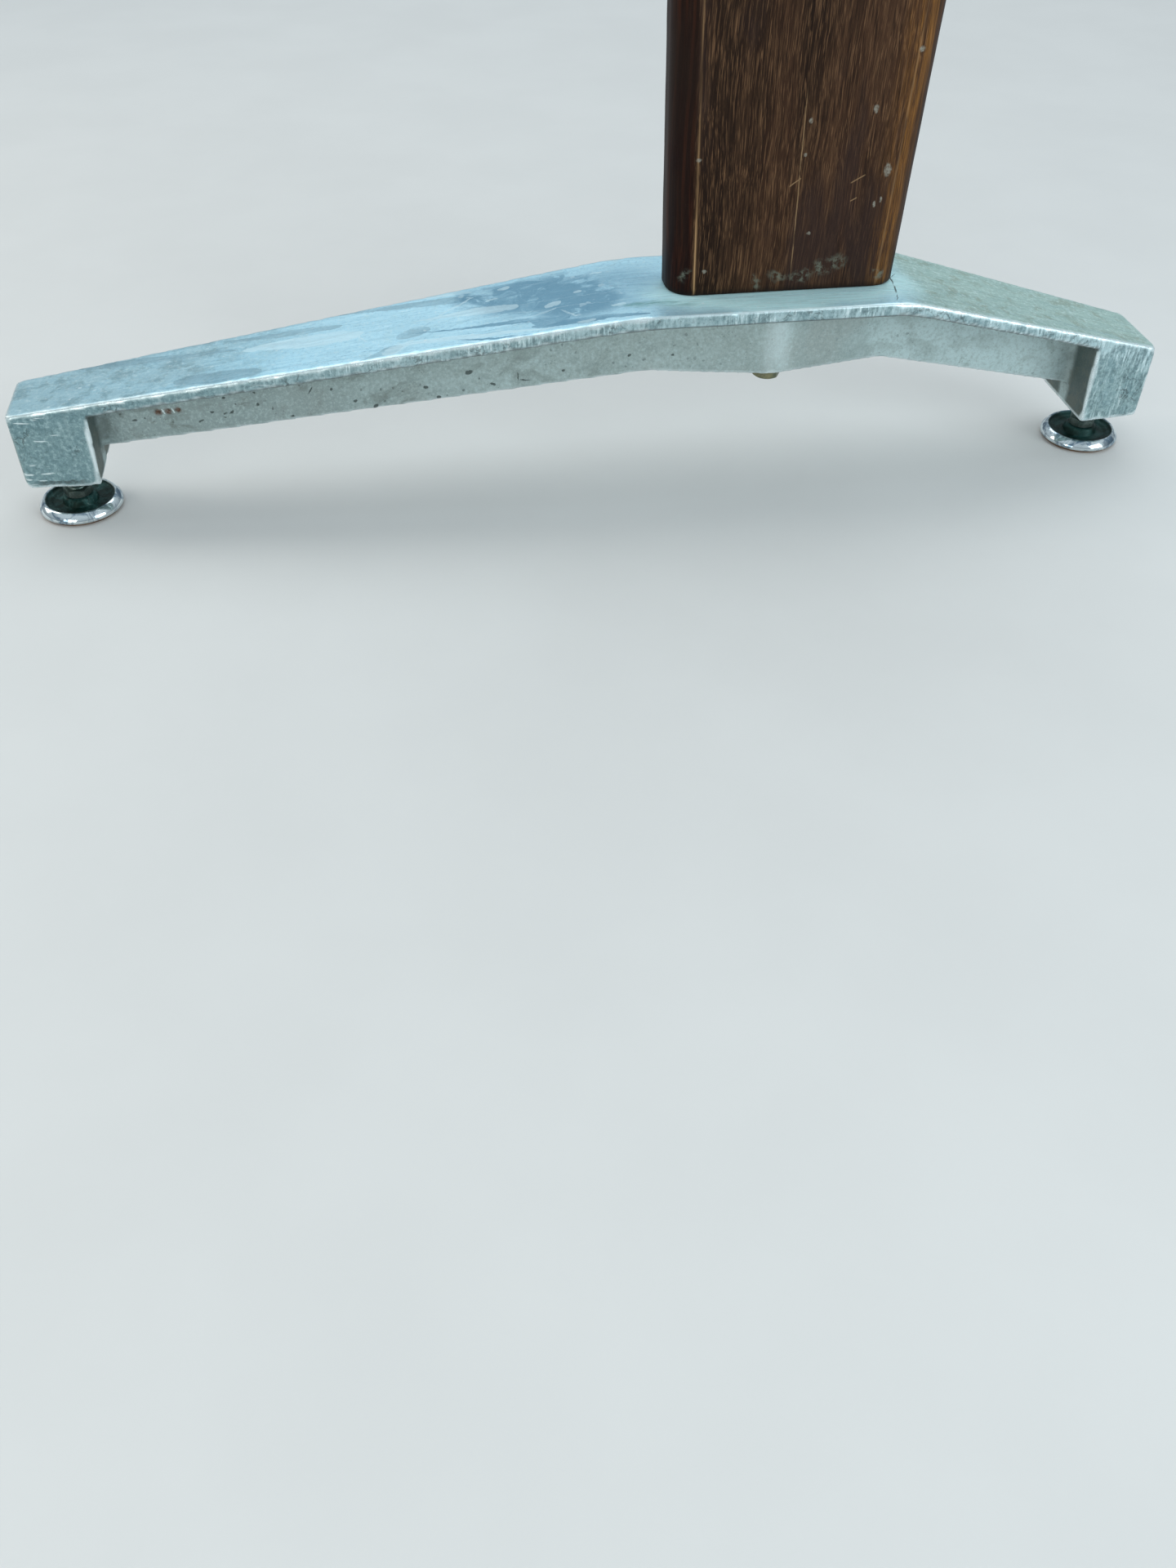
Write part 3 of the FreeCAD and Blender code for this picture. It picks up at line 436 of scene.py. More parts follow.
        sweep = (26, 150, 20)
        slur = grains(tree, stretched(tree, nudged(tree, place, 40.0, 0.008), sweep, (0, 0, 0.14)), 1.0, 5.0, 0.66, 0.7)
        streaks = band(tree, slur, 0.34, 0.58, 0.45, 1.0)
        thick = most(tree, [mark(tree, fine, (x * mm, y * mm, topZ), (half * mm, wide * mm, 0.06), math.radians(turn), 0.5)
                            for x, y, half, wide, turn in marks["greasy"]])
        clots = band(tree, grains(tree, nudged(tree, place, 70.0, 0.012), 62.0, 5.0, 0.62, 0.9), 0.36, 0.52)
        thick = times(tree, thick, most(tree, [times(tree, clots, 1.0), band(tree, slur, 0.42, 0.54, 0.3, 0.85)]))
        frost = shapes("frost")
        drops = band(tree, cells(tree, nudged(tree, place, 160.0, 0.006), 95.0), 0.13, 0.20, 1.0, 0.0)
        frost = most(tree, [frost, times(tree, drops, thick, 0.8)])
        satin = blend(tree, times(tree, shapes("slate"), streaks, 0.52), satin, look["slate"])
        film = mark(tree, fine, (-12 * mm, 2 * mm, topZ), (66 * mm, 36 * mm, 0.06), 0, 0.6)
        film = times(tree, film, band(tree, slur, 0.36, 0.60, 0.28, 0.66))
        smear = most(tree, [times(tree, shapes("wiped"), streaks), thick, film])
        satin = blend(tree, times(tree, smear, 0.74), satin, look["wiped"])
        satin = blend(tree, times(tree, frost, band(tree, slur, 0.30, 0.55, 0.35, 0.62)), satin, look["frost"])
        # a teal band at the left of the patch in front of the post: the painted edge of the post's reflection
        postReflectionEdge = mark(tree, nudged(tree, place, 80.0, 0.010), (22 * mm, -21 * mm, topZ), (24 * mm, 5 * mm, 0.03), -0.12, 0.7)
        satin = blend(tree, times(tree, postReflectionEdge, band(tree, slur, 0.36, 0.56, 0.2, 0.8)), satin, look["teal"])
        cracks = [mark(tree, nudged(tree, place, 260.0, 0.0022), (x * mm, y * mm, topZ), (half * mm, wide * mm, 0.05),
                       math.radians(turn), 0.6) for x, y, half, wide, turn in marks["crack"]]
        satin = blend(tree, times(tree, most(tree, cracks), 0.9), satin, look["grimeAndShade"])
    flecks = band(tree, cells(tree, nudged(tree, place, 180.0, 0.004), 120.0), 0.07, 0.13, 1.0, 0.0)
    flecks = times(tree, flecks, band(tree, broad, 0.5, 0.6))
    satin = blend(tree, times(tree, flecks, 0.5), satin, look["bright"])

    # filed flanks: upright file strokes, darker and more mottled towards the long arm's tip
    strokes = grains(tree, stretched(tree, place, (look["fileScale"], 200, 120), (0, 0.28, 0)), 1.0, 3.0, 0.65, 0.2)
    towardsTip = band(tree, sums(tree, "ADD", across, times(tree, broad, 0.12)), -0.22, 0.02)
    filed = blend(tree, towardsTip, look["filed"], look["filedPale"])
    filed = blend(tree, times(tree, block, 0.85), filed, look["block"])
    filed = blend(tree, times(tree, block, band(tree, across, -0.26, -0.20, 0.7, 0.0)), filed, look["filed"])
    strokeShare = blendValue(tree, towardsTip, 0.12, 0.85)
    strokeShare = times(tree, strokeShare, band(tree, grains(tree, place, 60.0, 3.0), 0.38, 0.58, 0.35, 1.0))
    filed = blend(tree, times(tree, band(tree, strokes, 0.56, 0.40, 0.0, 0.8), strokeShare), filed, look["stroke"])
    filed = blend(tree, times(tree, band(tree, strokes, 0.54, 0.70), strokeShare), filed, look["bright"])
    filed = blend(tree, band(tree, blotches, 0.44, 0.64, 0.0, 0.55), filed, look["filed"])
    filed = blend(tree, band(tree, grit, 0.48, 0.66, 0.0, 0.55), filed, look["filedPale"])
    filed = blend(tree, band(tree, grit, 0.48, 0.34, 0.0, 0.45), filed, look["stroke"])
    rake = grains(tree, stretched(tree, place, (70, 200, 620), (0, -0.75, 0)), 1.0, 2.0)
    rake = times(tree, band(tree, rake, 0.62, 0.68), band(tree, grains(tree, place, 36.0, 2.0), 0.50, 0.62))
    filed = blend(tree, times(tree, rake, sums(tree, "SUBTRACT", 1.0, towardsTip), 0.7), filed, look["bright"])
    veins = sums(tree, "SUBTRACT", grains(tree, nudged(tree, place, 90.0, 0.010), 85.0, 4.0, 0.6), 0.5)
    cracked = band(tree, sums(tree, "ABSOLUTE", veins), 0.004, 0.020, 1.0, 0.0)
    cracked = times(tree, cracked, band(tree, grains(tree, place, 48.0, 2.0), 0.48, 0.6))
    filed = blend(tree, times(tree, cracked, 0.55), filed, look["grimeAndShade"])

    colour = blend(tree, sideFace, cast, filed)
    colour = blend(tree, topFace, colour, satin)

    # worn edges carrying a painted highlight along the rim, grime with painted shade in the corners, and a painted
    # shade line under the flange's lip
    wornEdgeAndGlint = times(tree, edgeWearAndGlint, band(tree, grains(tree, place, 120.0, 4.0, 0.7), 0.34, 0.55, 0.55, 1.0))
    dirt = times(tree, hollowGrimeShade, band(tree, grains(tree, place, 95.0, 4.0, 0.7), 0.30, 0.62, 0.35, 1.0))
    colour = blend(tree, times(tree, dirt, 0.75), colour, look["grimeAndShade"])
    colour = blend(tree, times(tree, lipShade, 0.8), colour, look["grimeAndShade"])
    colour = blend(tree, times(tree, wornEdgeAndGlint, 0.85), colour, look["bright"])
    if marks:
        front = nudged(tree, place, 700.0, 0.0012)

        def onWeb(kind, edge):
            return most(tree, [mark(tree, front, (x * mm, -3.5 * mm, z * mm), (half * mm, 0.006, high * mm),
                                    math.radians(-turn), edge, False, "Y") for x, z, half, high, turn in marks[kind]])

        # a painted highlight down the hub's rounded nose
        noseHighlight = mark(tree, nudged(tree, place, 120.0, 0.004), (86 * mm, -15 * mm, 75 * mm), (11 * mm, 0.010, 30 * mm), 0, 0.9, True)
        colour = blend(tree, times(tree, noseHighlight, 0.30), colour, look["bright"])
        # painted shade on the hub's right flank
        rightFlankShade = mark(tree, nudged(tree, place, 70.0, 0.006), (117 * mm, -9 * mm, 78 * mm), (24 * mm, 0.012, 26 * mm), 0, 0.3, True)
        colour = blend(tree, times(tree, rightFlankShade, 0.28), colour, look["castTip"])
        sootLine = mark(tree, nudged(tree, place, 260.0, 0.003), (-275 * mm, -19 * mm, 25.6 * mm), (17 * mm, 0.006, 1.3 * mm), 0, 0.6, True)
        sootLine = times(tree, sootLine, band(tree, grit, 0.40, 0.56, 0.35, 1.0))
        colour = blend(tree, times(tree, sootLine, 0.75), colour, look["grimeAndShade"])
        colour = blend(tree, times(tree, onWeb("specks", 0.4), 0.8), colour, look["grimeAndShade"])
        rust = onWeb("rust", 0.8)
        colour = blend(tree, times(tree, rust, band(tree, grit, 0.36, 0.58, 0.55, 1.0)), colour, look["rust"])
        colour = blend(tree, times(tree, rust, band(tree, grit, 0.50, 0.62, 0.0, 0.8)), colour, look["grimeAndShade"])
        colour = blend(tree, times(tree, onWeb("rustNick", 0.3), 0.6), colour, look["bright"])
    plug(tree, shader.inputs["Base Color"], colour)

    rough = blendValue(tree, sideFace, band(tree, sand, 0.3, 0.7, 0.55, 0.75), band(tree, strokes, 0.3, 0.7, 0.40, 0.58))
    topRough = band(tree, brushed, 0.3, 0.7, 0.34, 0.48)
    topRough = blendValue(tree, most(tree, [shortArm, postReflectionPatch]), topRough, 0.58)
    if marks:
        topRough = blendValue(tree, times(tree, smear, 0.8), topRough, 0.28)
    rough = blendValue(tree, topFace, rough, topRough)
    rough = blendValue(tree, wornEdgeAndGlint, rough, 0.24)
    rough = blendValue(tree, most(tree, [dirt, lipShade]), rough, 0.85)
    plug(tree, shader.inputs["Roughness"], rough)
    dullness = most(tree, [times(tree, dirt, 0.6), times(tree, lipShade, 0.6), times(tree, pitted, 0.6), times(tree, inner, 0.5),
                           times(tree, topFace, postReflectionPatch, 0.62)])
    plug(tree, shader.inputs["Metallic"], sums(tree, "SUBTRACT", 0.66, dullness))

    castRelief = sums(tree, "ADD", times(tree, grit, 0.65), times(tree, mottle, 0.55))
    castRelief = sums(tree, "SUBTRACT", castRelief, times(tree, pitted, 0.8))
    fileRelief = sums(tree, "ADD", times(tree, strokes, strokeShare, 0.9), times(tree, grit, 0.4))
    fileRelief = sums(tree, "SUBTRACT", fileRelief, times(tree, cracked, 0.4))
    topRelief = sums(tree, "ADD", times(tree, brushed, 0.22), times(tree, broad, 0.5))
    relief = blendValue(tree, sideFace, castRelief, fileRelief)
    relief = blendValue(tree, topFace, relief, topRelief)
    plug(tree, shader.inputs["Normal"], raised(tree, relief, 0.40, 0.0005))
    return material


def joinPoints(mesh):
    # merges the points that meet along hard edges, so that the skin is closed
    work = bmesh.new()
    work.from_mesh(mesh)
    bmesh.ops.remove_doubles(work, verts=work.verts, dist=1e-6)
    work.to_mesh(mesh)
    work.free()


def bakeModifiers(piece):
    graph = bpy.context.evaluated_depsgraph_get()
    final = bpy.data.meshes.new_from_object(piece.evaluated_get(graph))
    old = piece.data
    piece.modifiers.clear()
    piece.data = final
    bpy.data.meshes.remove(old)
    final.name = piece.name


def readPoints(mesh, field="co"):
    values = np.empty(len(mesh.vertices) * 3, np.float64)
    (mesh.vertices if field == "co" else mesh.vertex_normals).foreach_get("co" if field == "co" else "vector", values)
    return values.reshape(-1, 3)


def neighbourMean(mesh, values):
    # the mean of each point's neighbours, for a number or a place at each point
    ends = np.empty(len(mesh.edges) * 2, np.int64)
    mesh.edges.foreach_get("vertices", ends)
    ends = ends.reshape(-1, 2)
    total = np.zeros_like(values)
    count = np.zeros(len(values))
    for here, there in ((0, 1), (1, 0)):
        np.add.at(total, ends[:, here], values[ends[:, there]])
        np.add.at(count, ends[:, here], 1)
    return total / (count[:, None] if values.ndim == 2 else count)


def paint(mesh, name, values):
    layer = mesh.attributes.new(name, "FLOAT", "POINT")
    layer.data.foreach_set("value", np.clip(values, 0, 1).astype(np.float32))


def smoothStep(values, low, high):
    share = np.clip((values - low) / (high - low), 0, 1)
    return share * share * (3 - 2 * share)


def noiseAt(points, scale, seed):
    shift = Vector((seed * 7.1, seed * 3.7, seed * 5.3))
    return np.array([noise.noise(Vector(p) * scale + shift) for p in points])


def halfWidthAlong(points, step=2 * mm):
    # greatest distance from the middle plane at each point's place along the foot
    index = np.floor((points[:, 0] - points[:, 0].min()) / step).astype(int)
    widest = np.zeros(index.max() + 3)
    np.maximum.at(widest, index + 1, np.abs(points[:, 1]))
    widest = np.maximum(np.maximum(widest[:-2], widest[1:-1]), widest[2:])
    return widest[index]


def topAlong(points, step=2 * mm):
    index = np.floor((points[:, 0] - points[:, 0].min()) / step).astype(int)
    highest = np.full(index.max() + 1, -1.0)
    np.maximum.at(highest, index, points[:, 2])
    return highest[index]


def castSkin(name, nodeName, look):
    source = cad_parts[nodeName]
    piece = bpy.data.objects.new(name, source.data.copy())
    scene.collection.objects.link(piece)
    piece.data.materials.clear()
    joinPoints(piece.data)
    skin = piece.modifiers.new("skin", "REMESH")
    skin.mode = "VOXEL"
    skin.voxel_size = look["skin"]
    settle = piece.modifiers.new("settle", "SHRINKWRAP")
    settle.target = source
    settle.wrap_method = "NEAREST_SURFACEPOINT"
    soften = piece.modifiers.new("soften", "SMOOTH")
    soften.factor = 0.5
    soften.iterations = look["soften"]
    bakeModifiers(piece)
    mesh = piece.data
    for face in mesh.polygons:
        face.use_smooth = True
    points = readPoints(mesh)
    normals = readPoints(mesh, "normal")
    bend = -np.einsum("ij,ij->i", neighbourMean(mesh, points) - points, normals)
    convex = bend
    for turn in range(4):
        convex = 0.4 * convex + 0.6 * neighbourMean(mesh, convex)
    # convex edges: chips of worn metal; this paint layer also carries the painted highlight along the rim
    edgeWearAndGlint = smoothStep(convex, look["wearFrom"], look["wearTo"])
    # hollows: grime, with painted shade in the corners
    hollowGrimeShade = smoothStep(-convex, look["wearFrom"] * 0.6, look["wearTo"] * 0.8)
    for turn in range(3):
        hollowGrimeShade = np.maximum(hollowGrimeShade, 0.92 * neighbourMean(mesh, hollowGrimeShade))

    below = topAlong(points) - points[:, 2]
    widest = halfWidthAlong(points)
    topFace = smoothStep(normals[:, 2], 0.80, 0.96) * (below < look["edge"])
    sideFace = smoothStep(np.maximum(np.abs(normals[:, 1]), np.abs(normals[:, 0]) * (below < look["edge"] * 1.6)), 0.55, 0.85)
    sideFace = sideFace * (np.abs(points[:, 1]) > widest - 1.6 * mm)
    # the flange's rounded underside and a thin band just under the rim: painted shade, the dark line under the lip
    lipShade = smoothStep(-normals[:, 2], 0.06, 0.30) * (np.abs(points[:, 1]) > widest - 2.2 * mm)
    lipShade = lipShade * (below < look["edge"] + 2.5 * mm) * (below > look["edge"] * 0.5)
    fromMiddle = np.abs(points[:, 0] - (points[:, 0].min() + points[:, 0].max()) / 2)
    line = smoothStep(below, look["lineFrom"], look["lineTo"]) * (below < look["edge"] + 0.8 * mm) * sideFace
    lipShade = np.maximum(lipShade, line * (fromMiddle < look["lineReach"]))
    outer = fromMiddle > look["innerFrom"]
    innerFace = smoothStep(np.abs(normals[:, 0]), 0.6, 0.9) * (below > look["edge"]) * (np.abs(points[:, 1]) > 4.2 * mm)
    innerFace = innerFace * outer * (normals[:, 0] * points[:, 0] < 0)
    blockFace = smoothStep(below, look["edge"], look["edge"] + 9 * mm) * (sideFace > 0.3)
    for turn in range(2):
        innerFace = neighbourMean(mesh, innerFace)
        blockFace = neighbourMean(mesh, blockFace)
    paint(mesh, "innerFace", innerFace)
    paint(mesh, "blockFace", blockFace)
    paint(mesh, "topFace", topFace)
    paint(mesh, "sideFace", sideFace)
    paint(mesh, "edgeWearAndGlint", edgeWearAndGlint * (1 - 0.85 * lipShade))
    paint(mesh, "hollowGrimeShade", hollowGrimeShade)
    paint(mesh, "paintedLipShade", lipShade)

    # slow waves of the casting, then nicks along its edges
    waves = noiseAt(points, 38.0, 1) * look["wave"] + noiseAt(points, 160.0, 2) * look["ripple"]
    waves = waves * (1 - 0.75 * topFace)
    chips = smoothStep(noiseAt(points, 150.0, 3), 0.30, 0.60) * smoothStep(noiseAt(points, 27.0, 4), 0.0, 0.35)
    moved = points + normals * (waves - chips * edgeWearAndGlint * look["chip"])[:, None]
    for x, y, z, reach, depth in look["nicks"]:
        away = np.linalg.norm(moved - np.array([x, y, z]) * mm, axis=1)
        moved = moved - normals * (smoothStep(-away, -reach * mm, 0) * depth * mm)[:, None]
    for x, low, radius in look["bores"]:
        away = np.hypot(moved[:, 0] - x * mm, moved[:, 1])
        inside = (away < (radius + 1.0) * mm) & (moved[:, 2] > low * mm) & (normals[:, 2] < 0.3)
        grow = np.where(inside & (away > 1e-6), radius * mm / np.maximum(away, 1e-6), 1)
        moved[:, 0] = x * mm + (moved[:, 0] - x * mm) * grow
        moved[:, 1] = moved[:, 1] * grow
    low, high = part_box(nodeName)
    moved = np.clip(moved, np.array(low), np.array(high))
    mesh.vertices.foreach_set("co", moved.astype(np.float32).ravel())
    mesh.update()
    return piece


footLook = {
    "skin": 1.12 * mm,
    "soften": 3,
    "wearFrom": 0.045 * mm,
    "wearTo": 0.110 * mm,
    "edge": 6.6 * mm,
    "innerFrom": 240 * mm,
    "lineFrom": 5.2 * mm,
    "lineTo": 6.2 * mm,
    "lineReach": 250 * mm,
    "wave": 0.15 * mm,
    "ripple": 0.05 * mm,
    "chip": 0.55 * mm,
    # nicks in the rim: x, y, z, reach, depth in mm
    "nicks": [(58, -37, 99.5, 3.0, 0.8), (-96, -30, 86, 2.4, 0.6), (-207, -24, 72, 2.0, 0.6), (256, -21.5, 40, 2.6, 0.9),
              (257, -21.5, 30, 3.2, 1.0), (-255, -19.5, 44, 2.2, 0.7), (292, -20, 60, 2.6, 0.9), (-293, -18, 23, 2.6, 0.8)],
    "bores": [(-274, 23.3, 5.25), (274, 23.3, 5.25)],
}

bracketLook = {
    "skin": 1.1 * mm,
    "soften": 3,
    "wearFrom": 0.045 * mm,
    "wearTo": 0.110 * mm,
    "edge": 6.6 * mm,
    "innerFrom": 240 * mm,
    "lineFrom": 5.2 * mm,
    "lineTo": 6.2 * mm,
    "lineReach": 250 * mm,
    "wave": 0.16 * mm,
    "ripple": 0.07 * mm,
    "chip": 0.6 * mm,
    "nicks": [(-63, -18, 719, 2.6, 0.8), (150, -37, 719, 2.4, 0.7), (236, 15, 718, 2.6, 0.8)],
    "bores": [],
}

postLow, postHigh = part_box("upright_post")
postAxis = ((postLow.x + postHigh.x) / 2, 0.0)

footPiece = castSkin("footCasting", "foot_casting", footLook)
footPiece.data.materials.append(castAluminium("wipedCastAluminium", aluminiumLook, footMarks, postAxis, postLow.z))
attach(footPiece, "stand")
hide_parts("foot_casting")
print("foot casting:", len(footPiece.data.polygons), "faces")

bracketPiece = castSkin("topBracket", "top_bracket", bracketLook)
bracketPiece.data.materials.append(castAluminium("dustyCastAluminium", aluminiumLook, None, postAxis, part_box("top_bracket")[1].z))
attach(bracketPiece, "stand")
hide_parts("top_bracket")
print("top bracket:", len(bracketPiece.data.polygons), "faces")


# ---- hardwood post ----

woodLook = {
    "ground": (0.050, 0.023, 0.012),
    "dark": (0.015, 0.007, 0.004),
    "plum": (0.028, 0.016, 0.014),
    "fleck": (0.190, 0.102, 0.052),
    "amber": (0.330, 0.140, 0.025),
    "shadedRedSide": (0.009, 0.0014, 0.0006),
    "redStreak": (0.046, 0.010, 0.003),
    "cornerHighlight": (0.520, 0.310, 0.150),
    "dent": (0.260, 0.250, 0.210),
    "smear": (0.150, 0.165, 0.130),
    "endGrain": (0.060, 0.036, 0.020),
}

postShape = {
    "corner": 13.0 * mm,
    "roundOver": 1.3 * mm,
    "rowStep": 2.4 * mm,
    "faceStep": 3.2 * mm,
    "cornerSteps": 36,
    # dents in the front face: x from the middle, height above the foot, half width, half height, depth in mm
    "dents": [(42.9, 55.0, 2.2, 3.6, 0.5), (38.8, 39.8, 0.9, 1.8, 0.35), (41.7, 41.5, 0.8, 1.4, 0.35),
              (50.1, 105.0, 2.0, 1.4, 0.4), (32.9, 81.5, 1.5, 2.2, 0.35), (3.1, 77.5, 1.2, 1.4, 0.35),
              (2.3, 63.0, 1.1, 1.2, 0.35), (-47.4, 62.6, 1.6, 1.2, 0.2), (-41.0, 12.0, 1.4, 1.0, 0.2)],
    # grey smears near the foot: x, height, half width, half height
    "smears": [(-15.5, 4.6, 4.0, 4.0), (-4.5, 7.5, 6.0, 4.0), (8.0, 7.0, 9.0, 3.0), (17.5, 10.5, 6.0, 5.0), (25.0, 13.0, 7.0, 5.0),
               (47.0, 6.0, 5.0, 3.0), (-50.0, 9.0, 3.5, 5.0)],
    # scratches in the front face: x and height of both ends
    "scratches": [(-0.2, 93.6, 2.1, 4.8), (25.3, 49.6, 32.8, 53.4), (-4.0, 49.0, 2.0, 53.0), (30.0, 43.2, 26.5, 41.6)],
}


def postOutline(halfWidth, halfDepth, look, inset=0.0):
    # the post's section seen from above, corner by corner, with evenly spread points on its flats
    radius = look["corner"]
    w = halfWidth - inset
    d = halfDepth - inset
    r = max(radius - inset, 1 * mm)
    section = []
    frontSteps = max(2, round(2 * (postShape["frontHalf"] - radius) / look["faceStep"]))
    sideSteps = 3
    for corner, (sx, sy) in enumerate(((1, -1), (1, 1), (-1, 1), (-1, -1))):
        centre = Vector((sx * (w - r), sy * (d - r)))
        start = math.radians(-90 + 90 * corner)
        for k in range(look["cornerSteps"] + 1):
            angle = start + math.radians(90) * k / look["cornerSteps"]
            section.append((centre.x + r * math.cos(angle), centre.y + r * math.sin(angle)))
        following = ((1, 1), (-1, 1), (-1, -1), (1, -1))[corner]
        ahead = Vector((following[0] * (w - r), following[1] * (d - r)))
        angle = start + math.radians(90)
        here = Vector(section[-1])
        there = Vector((ahead.x + r * math.cos(angle), ahead.y + r * math.sin(angle)))
        steps = sideSteps if corner % 2 == 0 else frontSteps
        for k in range(1, steps):
            point = here.lerp(there, k / steps)
            section.append((point.x, point.y))
    return section


def buildPost(look):
    corners = readPoints(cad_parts["upright_post"].data)
    atFoot = corners[corners[:, 2] < postLow.z + 0.01 * mm]
    footHalf = float(np.abs(atFoot[:, 0] - postAxis[0]).max())
    topHalf = (postHigh.x - postLow.x) / 2
    depthHalf = (postHigh.y - postLow.y) / 2
    look["frontHalf"] = (footHalf + topHalf) / 2
    length = postHigh.z - postLow.z
    over = look["roundOver"]
    rows = [(over * (1 - math.cos(a)), over * (1 - math.sin(a))) for a in np.radians([0, 30, 60, 90])]
    rows += [(h, 0.0) for h in np.linspace(over, length - over, round(length / look["rowStep"]))[1:-1]]
    rows += [(length - over * (1 - math.cos(a)), over * (1 - math.sin(a))) for a in np.radians([90, 60, 30, 0])]
    points = []
    for height, inset in rows:
        half = footHalf + (topHalf - footHalf) * height / length
        for x, y in postOutline(half, depthHalf, look, inset):
            points.append((postAxis[0] + x, y, postLow.z + height))
    count = len(points) // len(rows)
    faces = []
    for row in range(len(rows) - 1):
        for k in range(count):
            here, after = row * count + k, row * count + (k + 1) % count
            faces.append((here, after, after + count, here + count))
    faces.append(tuple(reversed(range(count))))
    faces.append(tuple(range((len(rows) - 1) * count, len(rows) * count)))
    mesh = bpy.data.meshes.new("uprightPost")
    mesh.from_pydata(points, [], faces)
    piece = bpy.data.objects.new("uprightPost", mesh)
    scene.collection.objects.link(piece)
    for face in mesh.polygons[:-2]:
        face.use_smooth = True
    mesh.update()
    return piece


def workPost(piece, look):
    # planing waves, soft corners worn by hands, dents and paint layers for the corners, for a painted highlight line
    # along the front corners and for the sides, which take painted shade
    mesh = piece.data
    points = readPoints(mesh)
    normals = readPoints(mesh, "normal")
    waves = noiseAt(points * np.array([1, 1, 0.25]), 60.0, 11) * 0.16 * mm
    front = smoothStep(-normals[:, 1], 0.8, 0.98)
    for x, z, wide, high, depth in look["dents"]:
        away = np.hypot((points[:, 0] - postAxis[0] - x * mm) / (wide * 1.5 * mm),
                        (points[:, 2] - postLow.z - z * mm) / (high * 1.5 * mm))
        waves = waves - front * smoothStep(-away, -1, -0.2) * depth * mm
    ends = np.minimum(points[:, 2] - postLow.z, postHigh.z - points[:, 2])
    waves = waves * smoothStep(ends, 0, 2 * mm) + noiseAt(points, 90.0, 12) * 0.1 * mm * smoothStep(ends, 0, 2 * mm)
    mesh.vertices.foreach_set("co", (points + normals * waves[:, None]).astype(np.float32).ravel())
    corner = smoothStep(np.minimum(np.abs(normals[:, 0]), np.abs(normals[:, 1])), 0.08, 0.45)
    paint(mesh, "corner", corner)
    turned = np.abs(normals[:, 0])
    leftFront = (normals[:, 1] < 0) & (normals[:, 0] < 0)
    paint(mesh, "cornerGlintLine", np.exp(-((turned - 0.087) / 0.030) ** 2) * np.where(leftFront, 1.0, 0.35))
    paint(mesh, "side", np.where(leftFront, smoothStep(turned, 0.12, 0.30), smoothStep(turned, 0.40, 0.85)))
    paint(mesh, "endFace", smoothStep(np.abs(normals[:, 2]), 0.7, 0.95))
    mesh.update()


